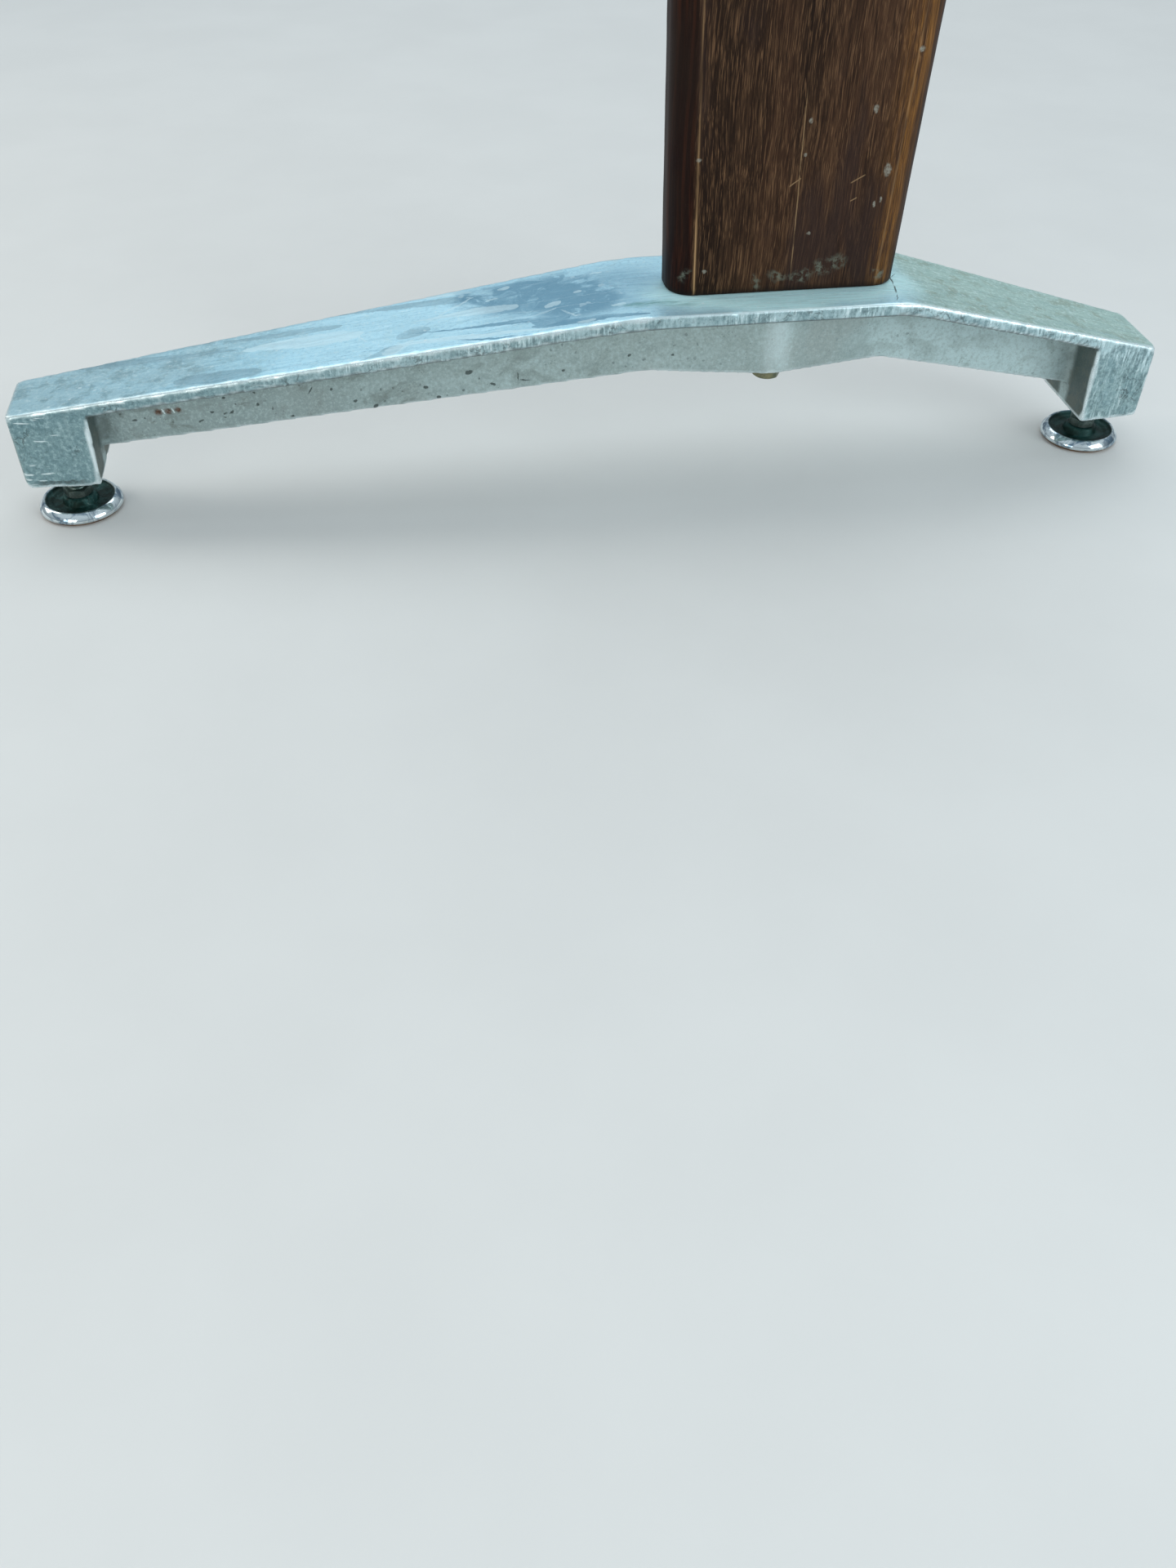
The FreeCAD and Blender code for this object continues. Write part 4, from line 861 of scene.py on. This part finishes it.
def stainedWood(look, shape):
    material, tree, shader = startMaterial("stainedHardwood")
    place = objectPlace(tree)
    centred = addNode(tree, "Mapping", None, {"Vector": place, "Location": (-postAxis[0], 0, -postLow.z)}).outputs[0]
    split = addNode(tree, "SeparateXYZ", None, {0: centred})
    swayed = nudged(tree, centred, 9.0, 0.010)
    corner = painted(tree, "corner")
    side = painted(tree, "side")
    endFace = painted(tree, "endFace")

    figure = grains(tree, stretched(tree, swayed, (30, 30, 3.2)), 1.0, 3.0, 0.5, 0.6)
    grain = grains(tree, stretched(tree, swayed, (420, 420, 11.0)), 1.0, 4.0, 0.6, 0.2)
    pores = grains(tree, stretched(tree, swayed, (1250, 1250, 46.0)), 1.0, 3.0, 0.65)
    finePores = grains(tree, stretched(tree, swayed, (2300, 2300, 80.0)), 1.0, 2.0, 0.6)
    darkPores = grains(tree, stretched(tree, swayed, (1700, 1700, 60.0), (0, 0.01, 0.4)), 1.0, 2.0, 0.6)
    clouds = grains(tree, stretched(tree, centred, (34, 34, 11)), 1.0, 3.0)

    wood = blend(tree, band(tree, figure, 0.36, 0.60), look["dark"], look["ground"])
    wood = blend(tree, band(tree, grain, 0.40, 0.72, 0.0, 0.16), wood, look["fleck"])
    wood = blend(tree, times(tree, band(tree, pores, 0.52, 0.68), 0.46), wood, look["fleck"])
    wood = blend(tree, times(tree, band(tree, finePores, 0.54, 0.66), 0.60), wood, look["fleck"])
    wood = blend(tree, times(tree, band(tree, darkPores, 0.50, 0.62), 0.72), wood, look["dark"])
    wood = blend(tree, band(tree, clouds, 0.50, 0.66, 0.0, 0.75), wood, look["plum"])

    # the stain is thinner and more amber towards the right side and at the corners
    halfWidth = sums(tree, "ADD", sums(tree, "MULTIPLY", split.outputs[2], 0.0298), 0.0575)
    across = sums(tree, "DIVIDE", split.outputs[0], halfWidth)
    rightBand = times(tree, band(tree, sums(tree, "ADD", across, times(tree, figure, 0.30)), 0.76, 1.08),
                      band(tree, grain, 0.34, 0.62, 0.15, 1.0))
    fineLines = band(tree, finePores, 0.40, 0.60, 0.25, 1.0)
    amber = most(tree, [times(tree, rightBand, fineLines, 0.55), times(tree, corner, band(tree, figure, 0.42, 0.60, 0.0, 0.35),
                                                            band(tree, grain, 0.35, 0.6, 0.2, 1.0))])
    wood = blend(tree, amber, wood, look["amber"])
    # the sides take a near-black red tone: red wood, darkened as painted shade, strongest on the left side
    shadedSideTone = blend(tree, band(tree, grain, 0.46, 0.66, 0.0, 0.6), look["shadedRedSide"], look["redStreak"])
    shadedSideTone = blend(tree, band(tree, clouds, 0.46, 0.62, 0.0, 0.7), shadedSideTone, look["dark"])
    wood = blend(tree, times(tree, side, 0.94), wood, shadedSideTone)
    # a painted highlight: a thin pale line along the left front corner, fainter at the other corners
    line = times(tree, painted(tree, "cornerGlintLine"), band(tree, grain, 0.36, 0.56, 0.35, 1.0),
                 band(tree, grains(tree, stretched(tree, place, (60, 60, 9)), 1.0, 3.0), 0.36, 0.52, 0.2, 1.0))
    wood = blend(tree, times(tree, line, 0.85), wood, look["cornerHighlight"])
    wood = blend(tree, times(tree, endFace, 0.8), wood, look["endGrain"])

    # knocks and scratches that went through the stain
    ragged = nudged(tree, centred, 520.0, 0.0016)
    knocks = [mark(tree, ragged, (x * mm, -16 * mm, z * mm), (wide * mm, 0.006, high * mm), 0, 0.5)
              for x, z, wide, high, depth in shape["dents"]]
    knocks = times(tree, most(tree, knocks), band(tree, grains(tree, place, 900.0, 2.0), 0.35, 0.6, 0.4, 1.0))
    wood = blend(tree, times(tree, knocks, 0.85), wood, look["dent"])
    lines = []
    for x0, z0, x1, z1 in shape["scratches"]:
        middle = ((x0 + x1) / 2 * mm, -16 * mm, (z0 + z1) / 2 * mm)
        length = math.hypot(x1 - x0, z1 - z0) / 2
        lean = math.atan2(x1 - x0, z1 - z0)
        lines.append(mark(tree, nudged(tree, centred, 60.0, 0.0009), middle, (0.32 * mm, 0.006, length * mm), lean, 0.35, True, "Y"))
    scratch = times(tree, most(tree, lines), band(tree, grains(tree, place, 140.0, 3.0), 0.36, 0.52, 0.25, 1.0))
    wood = blend(tree, times(tree, scratch, 0.7), wood, (0.30, 0.19, 0.10))
    wiped = nudged(tree, nudged(tree, centred, 90.0, 0.010), 420.0, 0.003)
    scuffed = most(tree, [mark(tree, wiped, (x * mm, -16 * mm, z * mm), (wide * mm, 0.008, high * mm), 0, 0.8, False, "Y")
                          for x, z, wide, high in shape["smears"]])
    scuffed = times(tree, scuffed, band(tree, grains(tree, place, 260.0, 4.0, 0.7), 0.42, 0.58))
    wood = blend(tree, times(tree, scuffed, 0.75), wood, look["smear"])
    loose = band(tree, cells(tree, nudged(tree, place, 200.0, 0.004), 55.0), 0.030, 0.055, 1.0, 0.0)
    loose = times(tree, loose, band(tree, clouds, 0.52, 0.58))
    wood = blend(tree, times(tree, loose, 0.6), wood, look["dent"])
    shadowed = band(tree, split.outputs[2], 0.0, 0.004, 0.75, 0.0)
    wood = blend(tree, shadowed, wood, (0.008, 0.006, 0.005))
    plug(tree, shader.inputs["Base Color"], wood)

    rough = band(tree, grain, 0.3, 0.7, 0.42, 0.58)
    rough = blendValue(tree, corner, rough, 0.32)
    rough = blendValue(tree, side, rough, 0.50)
    rough = blendValue(tree, most(tree, [knocks, scratch, scuffed]), rough, 0.75)
    plug(tree, shader.inputs["Roughness"], rough)
    shader.inputs["Specular IOR Level"].default_value = 0.08
    plug(tree, shader.inputs["Coat Weight"], blendValue(tree, corner, 0.015, 0.05))
    shader.inputs["Coat Roughness"].default_value = 0.14
    relief = sums(tree, "ADD", times(tree, grain, 0.35), times(tree, pores, 0.6))
    relief = sums(tree, "SUBTRACT", relief, times(tree, most(tree, [knocks, scratch]), 0.5))
    plug(tree, shader.inputs["Normal"], raised(tree, relief, 0.28, 0.0004))
    return material


postPiece = buildPost(postShape)
workPost(postPiece, postShape)
postPiece.data.materials.append(stainedWood(woodLook, postShape))
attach(postPiece, "stand")
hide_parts("upright_post")
print("post:", len(postPiece.data.polygons), "faces")


# ---- turned and threaded pieces ----

def lathe(name, profile, place, steps=96, closed=True, shape=None):
    # turns (radius, height) points about an upright axis; shape may change each point's radius by angle and height
    points = []
    for radius, height in profile:
        for k in range(steps):
            angle = 2 * math.pi * k / steps
            r, z = (radius, height) if shape is None else shape(radius, height, angle)
            points.append((place[0] + r * math.cos(angle), place[1] + r * math.sin(angle), place[2] + z))
    faces = []
    rings = len(profile)
    for ring in range(rings if closed else rings - 1):
        after = (ring + 1) % rings
        for k in range(steps):
            n = (k + 1) % steps
            faces.append((ring * steps + k, ring * steps + n, after * steps + n, after * steps + k))
    if not closed:
        faces.append(tuple(reversed(range(steps))))
        faces.append(tuple(range((rings - 1) * steps, rings * steps)))
    mesh = bpy.data.meshes.new(name)
    mesh.from_pydata(points, [], faces)
    work = bmesh.new()
    work.from_mesh(mesh)
    bmesh.ops.remove_doubles(work, verts=work.verts, dist=1e-7)
    bmesh.ops.recalc_face_normals(work, faces=work.faces)
    work.to_mesh(mesh)
    work.free()
    piece = bpy.data.objects.new(name, mesh)
    scene.collection.objects.link(piece)
    for face in mesh.polygons:
        face.use_smooth = True
    mesh.set_sharp_from_angle(angle=math.radians(38))
    return piece


def joinPieces(pieces, name):
    bpy.ops.object.select_all(action="DESELECT")
    for piece in pieces:
        piece.select_set(True)
    bpy.context.view_layer.objects.active = pieces[0]
    bpy.ops.object.join()
    joined = pieces[0]
    joined.name = name
    joined.data.name = name
    return joined


def hexRadius(across, angle, easing=0.3 * mm):
    # distance from the axis to a hexagon's side, with its corners a little rounded
    sharp = across / 2 / math.cos(angle % (math.pi / 3) - math.pi / 6)
    return min(sharp, across / math.sqrt(3) - easing)


def threadDepth(height, angle, pitch, depth):
    turn = (height / pitch - angle / (2 * math.pi)) % 1
    return depth * (1 - min(1, max(0, (abs(turn - 0.5) * 2 - 0.12) / 0.76)))


def arcPoints(centreR, centreZ, radius, start, end, steps):
    return [(centreR + radius * math.cos(math.radians(start + (end - start) * k / steps)),
             centreZ + radius * math.sin(math.radians(start + (end - start) * k / steps))) for k in range(steps + 1)]


def platedMetal(name, look):
    material, tree, shader = startMaterial(name)
    place = objectPlace(tree)
    broad = grains(tree, place, 180.0, 4.0, 0.6)
    fine = grains(tree, place, 1400.0, 3.0, 0.7)
    turned = grains(tree, stretched(tree, place, (120, 120, 2600)), 1.0, 2.0)
    colour = blend(tree, band(tree, broad, 0.35, 0.65), look["base"], look["second"])
    colour = blend(tree, band(tree, fine, 0.52, 0.72, 0.0, look["dirtShare"]), colour, look["dirt"])
    spots = band(tree, cells(tree, place, 420.0), 0.08, 0.20, 1.0, 0.0)
    spots = times(tree, spots, band(tree, broad, 0.52, 0.64))
    colour = blend(tree, times(tree, spots, look["spotShare"]), colour, look["spot"])
    plug(tree, shader.inputs["Base Color"], colour)
    plug(tree, shader.inputs["Roughness"], band(tree, fine, 0.3, 0.7, look["roughLow"], look["roughHigh"]))
    plug(tree, shader.inputs["Metallic"], sums(tree, "SUBTRACT", 0.97, times(tree, spots, 0.7)))
    relief = sums(tree, "ADD", times(tree, turned, look["turned"]), times(tree, broad, 0.4))
    plug(tree, shader.inputs["Normal"], raised(tree, relief, 0.25, 0.0003))
    return material


zincLook = {"base": (0.30, 0.28, 0.16), "second": (0.15, 0.17, 0.12), "dirt": (0.10, 0.10, 0.06), "dirtShare": 0.5,
            "spot": (0.20, 0.10, 0.04), "spotShare": 0.7, "roughLow": 0.30, "roughHigh": 0.48, "turned": 0.3}
stemLook = {"base": (0.20, 0.25, 0.23), "second": (0.10, 0.15, 0.14), "dirt": (0.03, 0.05, 0.04), "dirtShare": 0.7,
            "spot": (0.22, 0.11, 0.05), "spotShare": 0.6, "roughLow": 0.30, "roughHigh": 0.50, "turned": 0.3}
brassLook = {"base": (0.62, 0.44, 0.16), "second": (0.50, 0.34, 0.12), "dirt": (0.14, 0.10, 0.05), "dirtShare": 0.4,
             "spot": (0.10, 0.14, 0.08), "spotShare": 0.5, "roughLow": 0.25, "roughHigh": 0.40, "turned": 0.5}
pinLook = {"base": (0.58, 0.59, 0.59), "second": (0.48, 0.49, 0.50), "dirt": (0.12, 0.11, 0.10), "dirtShare": 0.3,
           "spot": (0.20, 0.12, 0.07), "spotShare": 0.4, "roughLow": 0.20, "roughHigh": 0.34, "turned": 0.6}
yellowZinc = platedMetal("yellowZinc", zincLook)
stemZinc = platedMetal("stemZinc", stemLook)
turnedBrass = platedMetal("turnedBrass", brassLook)
groundSteel = platedMetal("groundSteel", pinLook)

fastenerShape = {
    "headAcross": 13.0 * mm,
    "headHeight": 5.3 * mm,
    "shank": 8.0 * mm,
    "pitch": 1.25 * mm,
    "threadDepth": 0.6 * mm,
    "plainShank": 12.0 * mm,
    "ringStep": 0.16 * mm,
}


def placeOf(node):
    low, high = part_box(node)
    return ((low.x + high.x) / 2, (low.y + high.y) / 2, low.z), high.z - low.z, (high.y - low.y) / 2


def buildBolt(node, name, headDown, look):
    place, length, _ = placeOf(node)
    head = look["headHeight"]
    flat = look["headAcross"] / 2
    r = look["shank"] / 2
    cup = 0.35 * mm
    # heights run from the head's outer face; a bolt with its head up is turned over
    profile = [(0.05 * mm, cup), (flat * 0.55, cup), (flat * 0.62, 0.0), (flat * 0.93, 0.0)]
    profile += [(flat * 1.5, 0.0), (flat * 1.5, head * 0.35), (flat * 1.5, head * 0.7), (flat * 1.5, head - 0.15 * mm)]
    profile += [(flat * 0.96, head - 0.15 * mm), (flat * 0.94, head), (r + 0.6 * mm, head), (r, head + 0.5 * mm)]
    profile += [(r, head + look["plainShank"])]
    threadStart = head + look["plainShank"]
    rings = int((length - threadStart) / look["ringStep"])
    profile += [(r, threadStart + (length - threadStart) * k / rings) for k in range(1, rings)]
    profile += [(r - 0.9 * mm, length), (0.05 * mm, length)]

    def form(radius, height, angle):
        if radius > flat * 1.2:
            radius = hexRadius(look["headAcross"], angle)
            if height < head * 0.3:
                height = max(0.0, (radius - flat * 0.93)) * math.tan(math.radians(30))
        elif threadStart < height < length - 0.02 * mm:
            fade = min(1, (height - threadStart) / look["pitch"])
            taper = max(0, 1 - (length - height) / (0.9 * mm)) * 0.9 * mm
            radius = min(r - fade * (look["threadDepth"] - threadDepth(height, angle, look["pitch"], look["threadDepth"])), r - taper)
        return radius, (height if headDown else length - height)

    piece = lathe(name, profile, place, 72, False, form)
    piece.data.materials.append(yellowZinc)
    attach(piece, "stand")
    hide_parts(node)
    return piece


def buildWasher(node, name):
    place, thick, outer = placeOf(node)
    hole = fastenerShape["shank"] / 2 + 0.25 * mm
    ease = 0.25 * mm
    profile = [(hole, ease), (hole + ease, 0.0), (outer - ease, 0.0), (outer - 0.05 * mm, ease * 0.6), (outer, ease * 1.4)]
    profile += [(outer, thick - ease * 0.5), (outer - ease * 0.5, thick), (hole + ease * 0.5, thick), (hole, thick - ease * 0.5)]
    piece = lathe(name, profile, place, 96)
    piece.data.materials.append(yellowZinc)
    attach(piece, "stand")
    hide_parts(node)
    return piece


def buildSpringWasher(node, name):
    # a square wire ring, cut through, with one end a hair above the other
    place, thick, outer = placeOf(node)
    inner = fastenerShape["shank"] / 2 + 0.25 * mm
    slit = math.asin(0.8 * mm / outer)
    ease = 0.22 * mm
    section = [(inner, ease), (inner + ease, 0), (outer - ease, 0), (outer, ease), (outer, thick - ease),
               (outer - ease, thick), (inner + ease, thick), (inner, thick - ease)]
    steps = 88
    points = []
    for k in range(steps + 1):
        angle = slit + (2 * math.pi - 2 * slit) * k / steps
        squeeze = 1 - 0.06 * abs(2 * k / steps - 1)
        for radius, height in section:
            z = height * squeeze + (thick * (1 - squeeze) if k > steps / 2 else 0)
            points.append((place[0] + radius * math.cos(angle), place[1] + radius * math.sin(angle), place[2] + z))
    count = len(section)
    faces = [tuple(range(count)), tuple(reversed(range(steps * count, (steps + 1) * count)))]
    for k in range(steps):
        for i in range(count):
            n = (i + 1) % count
            faces.append((k * count + i, (k + 1) * count + i, (k + 1) * count + n, k * count + n))
    mesh = bpy.data.meshes.new(name)
    mesh.from_pydata(points, [], faces)
    work = bmesh.new()
    work.from_mesh(mesh)
    bmesh.ops.recalc_face_normals(work, faces=work.faces)
    work.to_mesh(mesh)
    work.free()
    for face in mesh.polygons:
        face.use_smooth = True
    mesh.set_sharp_from_angle(angle=math.radians(50))
    piece = bpy.data.objects.new(name, mesh)
    scene.collection.objects.link(piece)
    mesh.materials.append(yellowZinc)
    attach(piece, "stand")
    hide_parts(node)
    return piece


def buildInsert(node, name):
    # a brass bush with a coarse wood thread outside and a plain bore for the bolt inside
    place, length, outer = placeOf(node)
    inner = fastenerShape["shank"] / 2 + 0.08 * mm
    steps = int(length / (0.35 * mm))
    profile = [(outer, length * k / steps) for k in range(steps + 1)]
    profile += [(inner + 0.5 * mm, length), (inner, length - 0.5 * mm), (inner, 0.5 * mm), (inner + 0.5 * mm, 0.0)]

    def form(radius, height, angle):
        if radius > outer - 0.01 * mm:
            ends = min(1, height / (1.5 * mm), (length - height) / (1.5 * mm))
            radius = outer - 0.9 * mm + ends * threadDepth(height, angle, 3.0 * mm, 0.9 * mm)
        return radius, height

    piece = lathe(name, profile, place, 72, True, form)
    piece.data.materials.append(turnedBrass)
    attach(piece, "stand")
    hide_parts(node)
    return piece


def buildPins(node, name):
    (middle, y, low), length, radius = placeOf(node)
    lowest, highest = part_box(node)
    ease = 0.8 * mm
    pair = []
    for x in (lowest.x + radius, highest.x - radius):
        profile = [(0.05 * mm, 0), (radius - ease, 0), (radius - ease * 0.25, ease * 0.6), (radius, ease * 1.6)]
        profile += [(radius, length / 2), (radius, length - ease * 1.6), (radius - ease * 0.25, length - ease * 0.6)]
        profile += [(radius - ease, length), (0.05 * mm, length)]
        pair.append(lathe(name + "Part", profile, (x, y, low), 48, False))
    piece = joinPieces(pair, name)
    piece.data.materials.append(groundSteel)
    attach(piece, "stand")
    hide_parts(node)
    return piece


for end, headDown in (("foot", True), ("top", False)):
    buildBolt(f"{end}_bolt", f"{end}Bolt", headDown, fastenerShape)
    buildWasher(f"{end}_bolt_washer", f"{end}BoltWasher")
    buildSpringWasher(f"{end}_bolt_spring_washer", f"{end}BoltSpringWasher")
    buildPins(f"{end}_locating_pins", f"{end}LocatingPins")
for end in ("lower", "upper"):
    buildInsert(f"post_{end}_insert", f"post{end.capitalize()}Insert")
print("bolts, washers, inserts and pins made")


# ---- glides ----

capLook = {
    "chrome": (0.78, 0.87, 0.90),
    "chromeBlueReflection": (0.07, 0.16, 0.25),
    "dish": (0.003, 0.018, 0.014),
    "dishTeal": (0.030, 0.110, 0.105),
    "dishPale": (0.190, 0.270, 0.250),
    "haze": (0.55, 0.60, 0.58),
    "rust": (0.22, 0.10, 0.035),
}

glideShape = {
    # the cap's section in mm
    "crest": 17.9,
    "cushion": 2.6,
    "skirt": 1.2,
    "skirtInside": 19.55,
    "headPocket": 7.68,
    "neckHole": 4.08,
    "headTop": 4.3,
    "neck": 8.0 * mm,
    "stem": 10.0 * mm,
    "pitch": 1.5 * mm,
    "threadDepth": 0.75 * mm,
    "hexAcross": 13.0 * mm,
    "hexLow": 8.0 * mm,
    "hexHigh": 12.6 * mm,
    "nutAcross": 16.0 * mm,
}


def stainedChrome(name, look, stain):
    material, tree, shader = startMaterial(name)
    place = objectPlace(tree)
    dish = painted(tree, "dish")
    broad = grains(tree, place, 110.0, 4.0, 0.65, 0.6)
    fine = grains(tree, place, 900.0, 4.0, 0.7)
    haze = band(tree, grains(tree, place, 300.0, 5.0, 0.7), 0.50, 0.72, 0.0, 0.5)
    # the rim's dark blue patches are painted reflections
    rim = blend(tree, band(tree, broad, 0.44, 0.60, 0.0, 0.85), look["chrome"], look["chromeBlueReflection"])
    rim = blend(tree, haze, rim, look["haze"])
    pits = band(tree, cells(tree, place, 900.0), 0.07, 0.16, 1.0, 0.0)
    pits = times(tree, pits, band(tree, broad, 0.48, 0.60))
    rim = blend(tree, times(tree, pits, 0.7), rim, look["dish"])
    low = painted(tree, "lowEdge")
    rim = blend(tree, times(tree, low, 0.75), rim, look["rust"])
    # the dish is painted near-black, in part painted shade from the block above it, with teal and pale blotches
    dishTone = blend(tree, band(tree, broad, 0.38, 0.66, 0.0, stain["teal"]), look["dish"], look["dishTeal"])
    dishTone = blend(tree, times(tree, band(tree, fine, 0.50, 0.70), band(tree, broad, 0.44, 0.60), stain["pale"]), dishTone, look["dishPale"])
    colour = blend(tree, dish, rim, dishTone)
    plug(tree, shader.inputs["Base Color"], colour)
    plug(tree, shader.inputs["Metallic"], blendValue(tree, dish, 1.0, 0.35))
    shine = blendValue(tree, haze, 0.11, 0.26)
    shader.inputs["Specular IOR Level"].default_value = 0.2
    shine = blendValue(tree, dish, shine, band(tree, fine, 0.3, 0.7, 0.30, 0.62))
    plug(tree, shader.inputs["Roughness"], blendValue(tree, low, shine, 0.6))
    relief = sums(tree, "ADD", times(tree, broad, 0.3), times(tree, fine, times(tree, dish, 0.8)))
    relief = sums(tree, "SUBTRACT", relief, times(tree, pits, 0.4))
    plug(tree, shader.inputs["Normal"], raised(tree, relief, 0.22, 0.0004))
    return material


def buildCap(side, shape, stain):
    place, height, outer = placeOf(f"{side}_glide_cap")
    rim = outer / mm
    crest = shape["crest"]
    rimSteps = [(rim - 0.55, 1.25), (rim - 0.2, 1.5), (rim - 0.03, 1.95), (rim, 2.4), (rim - 0.1, 3.0), (rim - 0.35, 3.65),
                (rim - 0.75, 4.35), (rim - 1.25, 5.0), (rim - 1.8, 5.6), (rim - 2.35, 6.1), (rim - 2.8, 6.4)]
    dishSteps = [(crest, 6.5), (crest - 0.4, 6.42), (crest - 0.75, 6.15), (crest - 0.95, 5.7), (crest - 1.2, 5.2),
                 (crest - 1.7, 4.85), (crest - 2.6, 4.65), (crest - 3.5, 4.5), (crest - 4.1, 4.05), (crest - 4.9, 3.9)]
    pocket = shape["headPocket"]
    bossSteps = [(pocket + 2.3, 3.9), (pocket + 1.5, 4.3), (pocket + 1.0, 5.4), (pocket + 0.5, 7.2), (pocket + 0.2, 7.7),
                 (pocket - 0.3, 8.0), (shape["neckHole"] + 0.3, 8.0), (shape["neckHole"], 7.7),
                 (shape["neckHole"], shape["headTop"]), (pocket, shape["headTop"]), (pocket, shape["cushion"]),
                 (shape["skirtInside"], shape["cushion"])]
    steps = [(shape["skirtInside"], shape["skirt"])] + rimSteps + dishSteps + bossSteps
    profile = [(radius * mm, height * mm - place[2]) for radius, height in steps]

    def dented(radius, z, angle):
        # a pressed rim is never quite round
        swell = 0.05 * mm * math.sin(3 * angle + 0.7) + 0.03 * mm * math.sin(7 * angle)
        return (radius + min(0, swell) if radius > crest * mm else radius), z

    piece = lathe(f"{side}GlideCap", profile, place, 128, True, dented)
    mesh = piece.data
    points = readPoints(mesh)
    away = np.hypot(points[:, 0] - place[0], points[:, 1] - place[1])
    upper = points[:, 2] > shape["cushion"] * mm + 0.3 * mm
    paint(mesh, "dish", smoothStep(-away, -(crest + 0.1) * mm, -(crest - 1.0) * mm) * upper)
    paint(mesh, "lowEdge", smoothStep(-points[:, 2], -2.1 * mm, -1.3 * mm))
    mesh.materials.append(stainedChrome(f"{side}StainedChrome", capLook, stain))
    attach(piece, f"{side}_glide")
    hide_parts(f"{side}_glide_cap")


def brownRubber(name):
    material, tree, shader = startMaterial(name)
    place = objectPlace(tree)
    speckle = grains(tree, place, 700.0, 4.0, 0.7)
    broad = grains(tree, place, 90.0, 3.0)
    colour = blend(tree, band(tree, broad, 0.35, 0.65), (0.20, 0.105, 0.035), (0.12, 0.060, 0.025))
    colour = blend(tree, band(tree, speckle, 0.50, 0.70, 0.0, 0.6), colour, (0.045, 0.030, 0.018))
    plug(tree, shader.inputs["Base Color"], colour)
    plug(tree, shader.inputs["Roughness"], band(tree, speckle, 0.3, 0.7, 0.55, 0.78))
    plug(tree, shader.inputs["Normal"], raised(tree, speckle, 0.35, 0.0004))
    return material


cushionFinish = brownRubber("brownCushion")


def buildCushion(side):
    place, thick, outer = placeOf(f"{side}_glide_cushion")
    ease = 0.55 * mm
    profile = [(0.05 * mm, 0.0), (outer * 0.5, 0.0), (outer * 0.8, 0.0)]
    profile += arcPoints(outer - ease, ease, ease, -90, 0, 6)
    profile += [(outer, thick * 0.6), (outer - 0.05 * mm, thick - 0.1 * mm), (outer - 0.2 * mm, thick), (0.05 * mm, thick)]
    piece = lathe(f"{side}GlideCushion", profile, place, 96, False)
    piece.data.materials.append(cushionFinish)
    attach(piece, f"{side}_glide")
    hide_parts(f"{side}_glide_cushion")


def buildStem(side, shape):
    # turned head and neck, a chamfered hexagon, then the rolled thread
    place, length, head = placeOf(f"{side}_glide_stem")
    base = place[2]
    neck = shape["neck"] / 2
    r = shape["stem"] / 2 - 0.06 * mm
    hexLow = shape["hexLow"] - base
    hexHigh = shape["hexHigh"] - base
    big = shape["hexAcross"]
    headTop = 1.6 * mm
    profile = [(0.05 * mm, 0), (head - 0.5 * mm, 0), (head, 0.35 * mm), (head, headTop - 0.35 * mm), (head - 0.4 * mm, headTop)]
    profile += [(neck + 0.4 * mm, headTop), (neck, headTop + 0.4 * mm), (neck, hexLow)]
    profile += [(big * 0.45, hexLow), (big, hexLow), (big, hexLow + 1.2 * mm), (big, hexHigh - 1.2 * mm), (big, hexHigh)]
    profile += [(big * 0.45, hexHigh), (r, hexHigh)]
    rings = int((length - hexHigh) / (0.19 * mm))
    profile += [(r, hexHigh + (length - hexHigh) * k / rings) for k in range(1, rings)]
    profile += [(r - 0.9 * mm, length), (0.05 * mm, length)]

    def form(radius, height, angle):
        if radius > big * 0.8:
            radius = hexRadius(big, angle)
            over = max(0.0, radius - big * 0.46) * math.tan(math.radians(30))
            if height < hexLow + 0.1 * mm:
                height += over
            if height > hexHigh - 0.1 * mm:
                height -= over
        elif hexHigh < height < length - 0.02 * mm and abs(radius - r) < 0.01 * mm:
            fade = min(1, (height - hexHigh) / shape["pitch"])
            taper = max(0, 1 - (length - height) / (0.9 * mm)) * 0.9 * mm
            cut = shape["threadDepth"] - threadDepth(height, angle, shape["pitch"], shape["threadDepth"])
            radius = min(r - fade * cut, r - taper)
        return radius, height

    piece = lathe(f"{side}GlideStem", profile, place, 72, False, form)
    piece.data.materials.append(stemZinc)
    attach(piece, f"{side}_stem")
    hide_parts(f"{side}_glide_stem")


def buildNut(side, shape):
    place, thick, _ = placeOf(f"{side}_lock_nut")
    across = shape["nutAcross"]
    bore = shape["stem"] / 2 + 0.08 * mm
    profile = [(across, 0.0), (across, 1.0 * mm), (across, thick - 1.0 * mm), (across, thick), (across * 0.46, thick)]
    profile += [(bore + 0.6 * mm, thick), (bore, thick - 0.6 * mm), (bore, 0.6 * mm), (bore + 0.6 * mm, 0.0), (across * 0.46, 0.0)]

    def form(radius, height, angle):
        if radius > across * 0.8:
            radius = hexRadius(across, angle)
            over = max(0.0, radius - across * 0.46) * math.tan(math.radians(30))
            if height < 0.1 * mm:
                height += over
            elif height > thick - 0.1 * mm:
                height -= over
        return radius, height

    piece = lathe(f"{side}LockNut", profile, place, 96, True, form)
    piece.data.materials.append(stemZinc)
    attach(piece, "stand")
    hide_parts(f"{side}_lock_nut")


stains = {"left": {"teal": 0.85, "pale": 0.75}, "right": {"teal": 0.45, "pale": 0.15}}
for side in ("left", "right"):
    buildCap(side, glideShape, stains[side])
    buildCushion(side)
    buildStem(side, glideShape)
    buildNut(side, glideShape)
print("glides made")
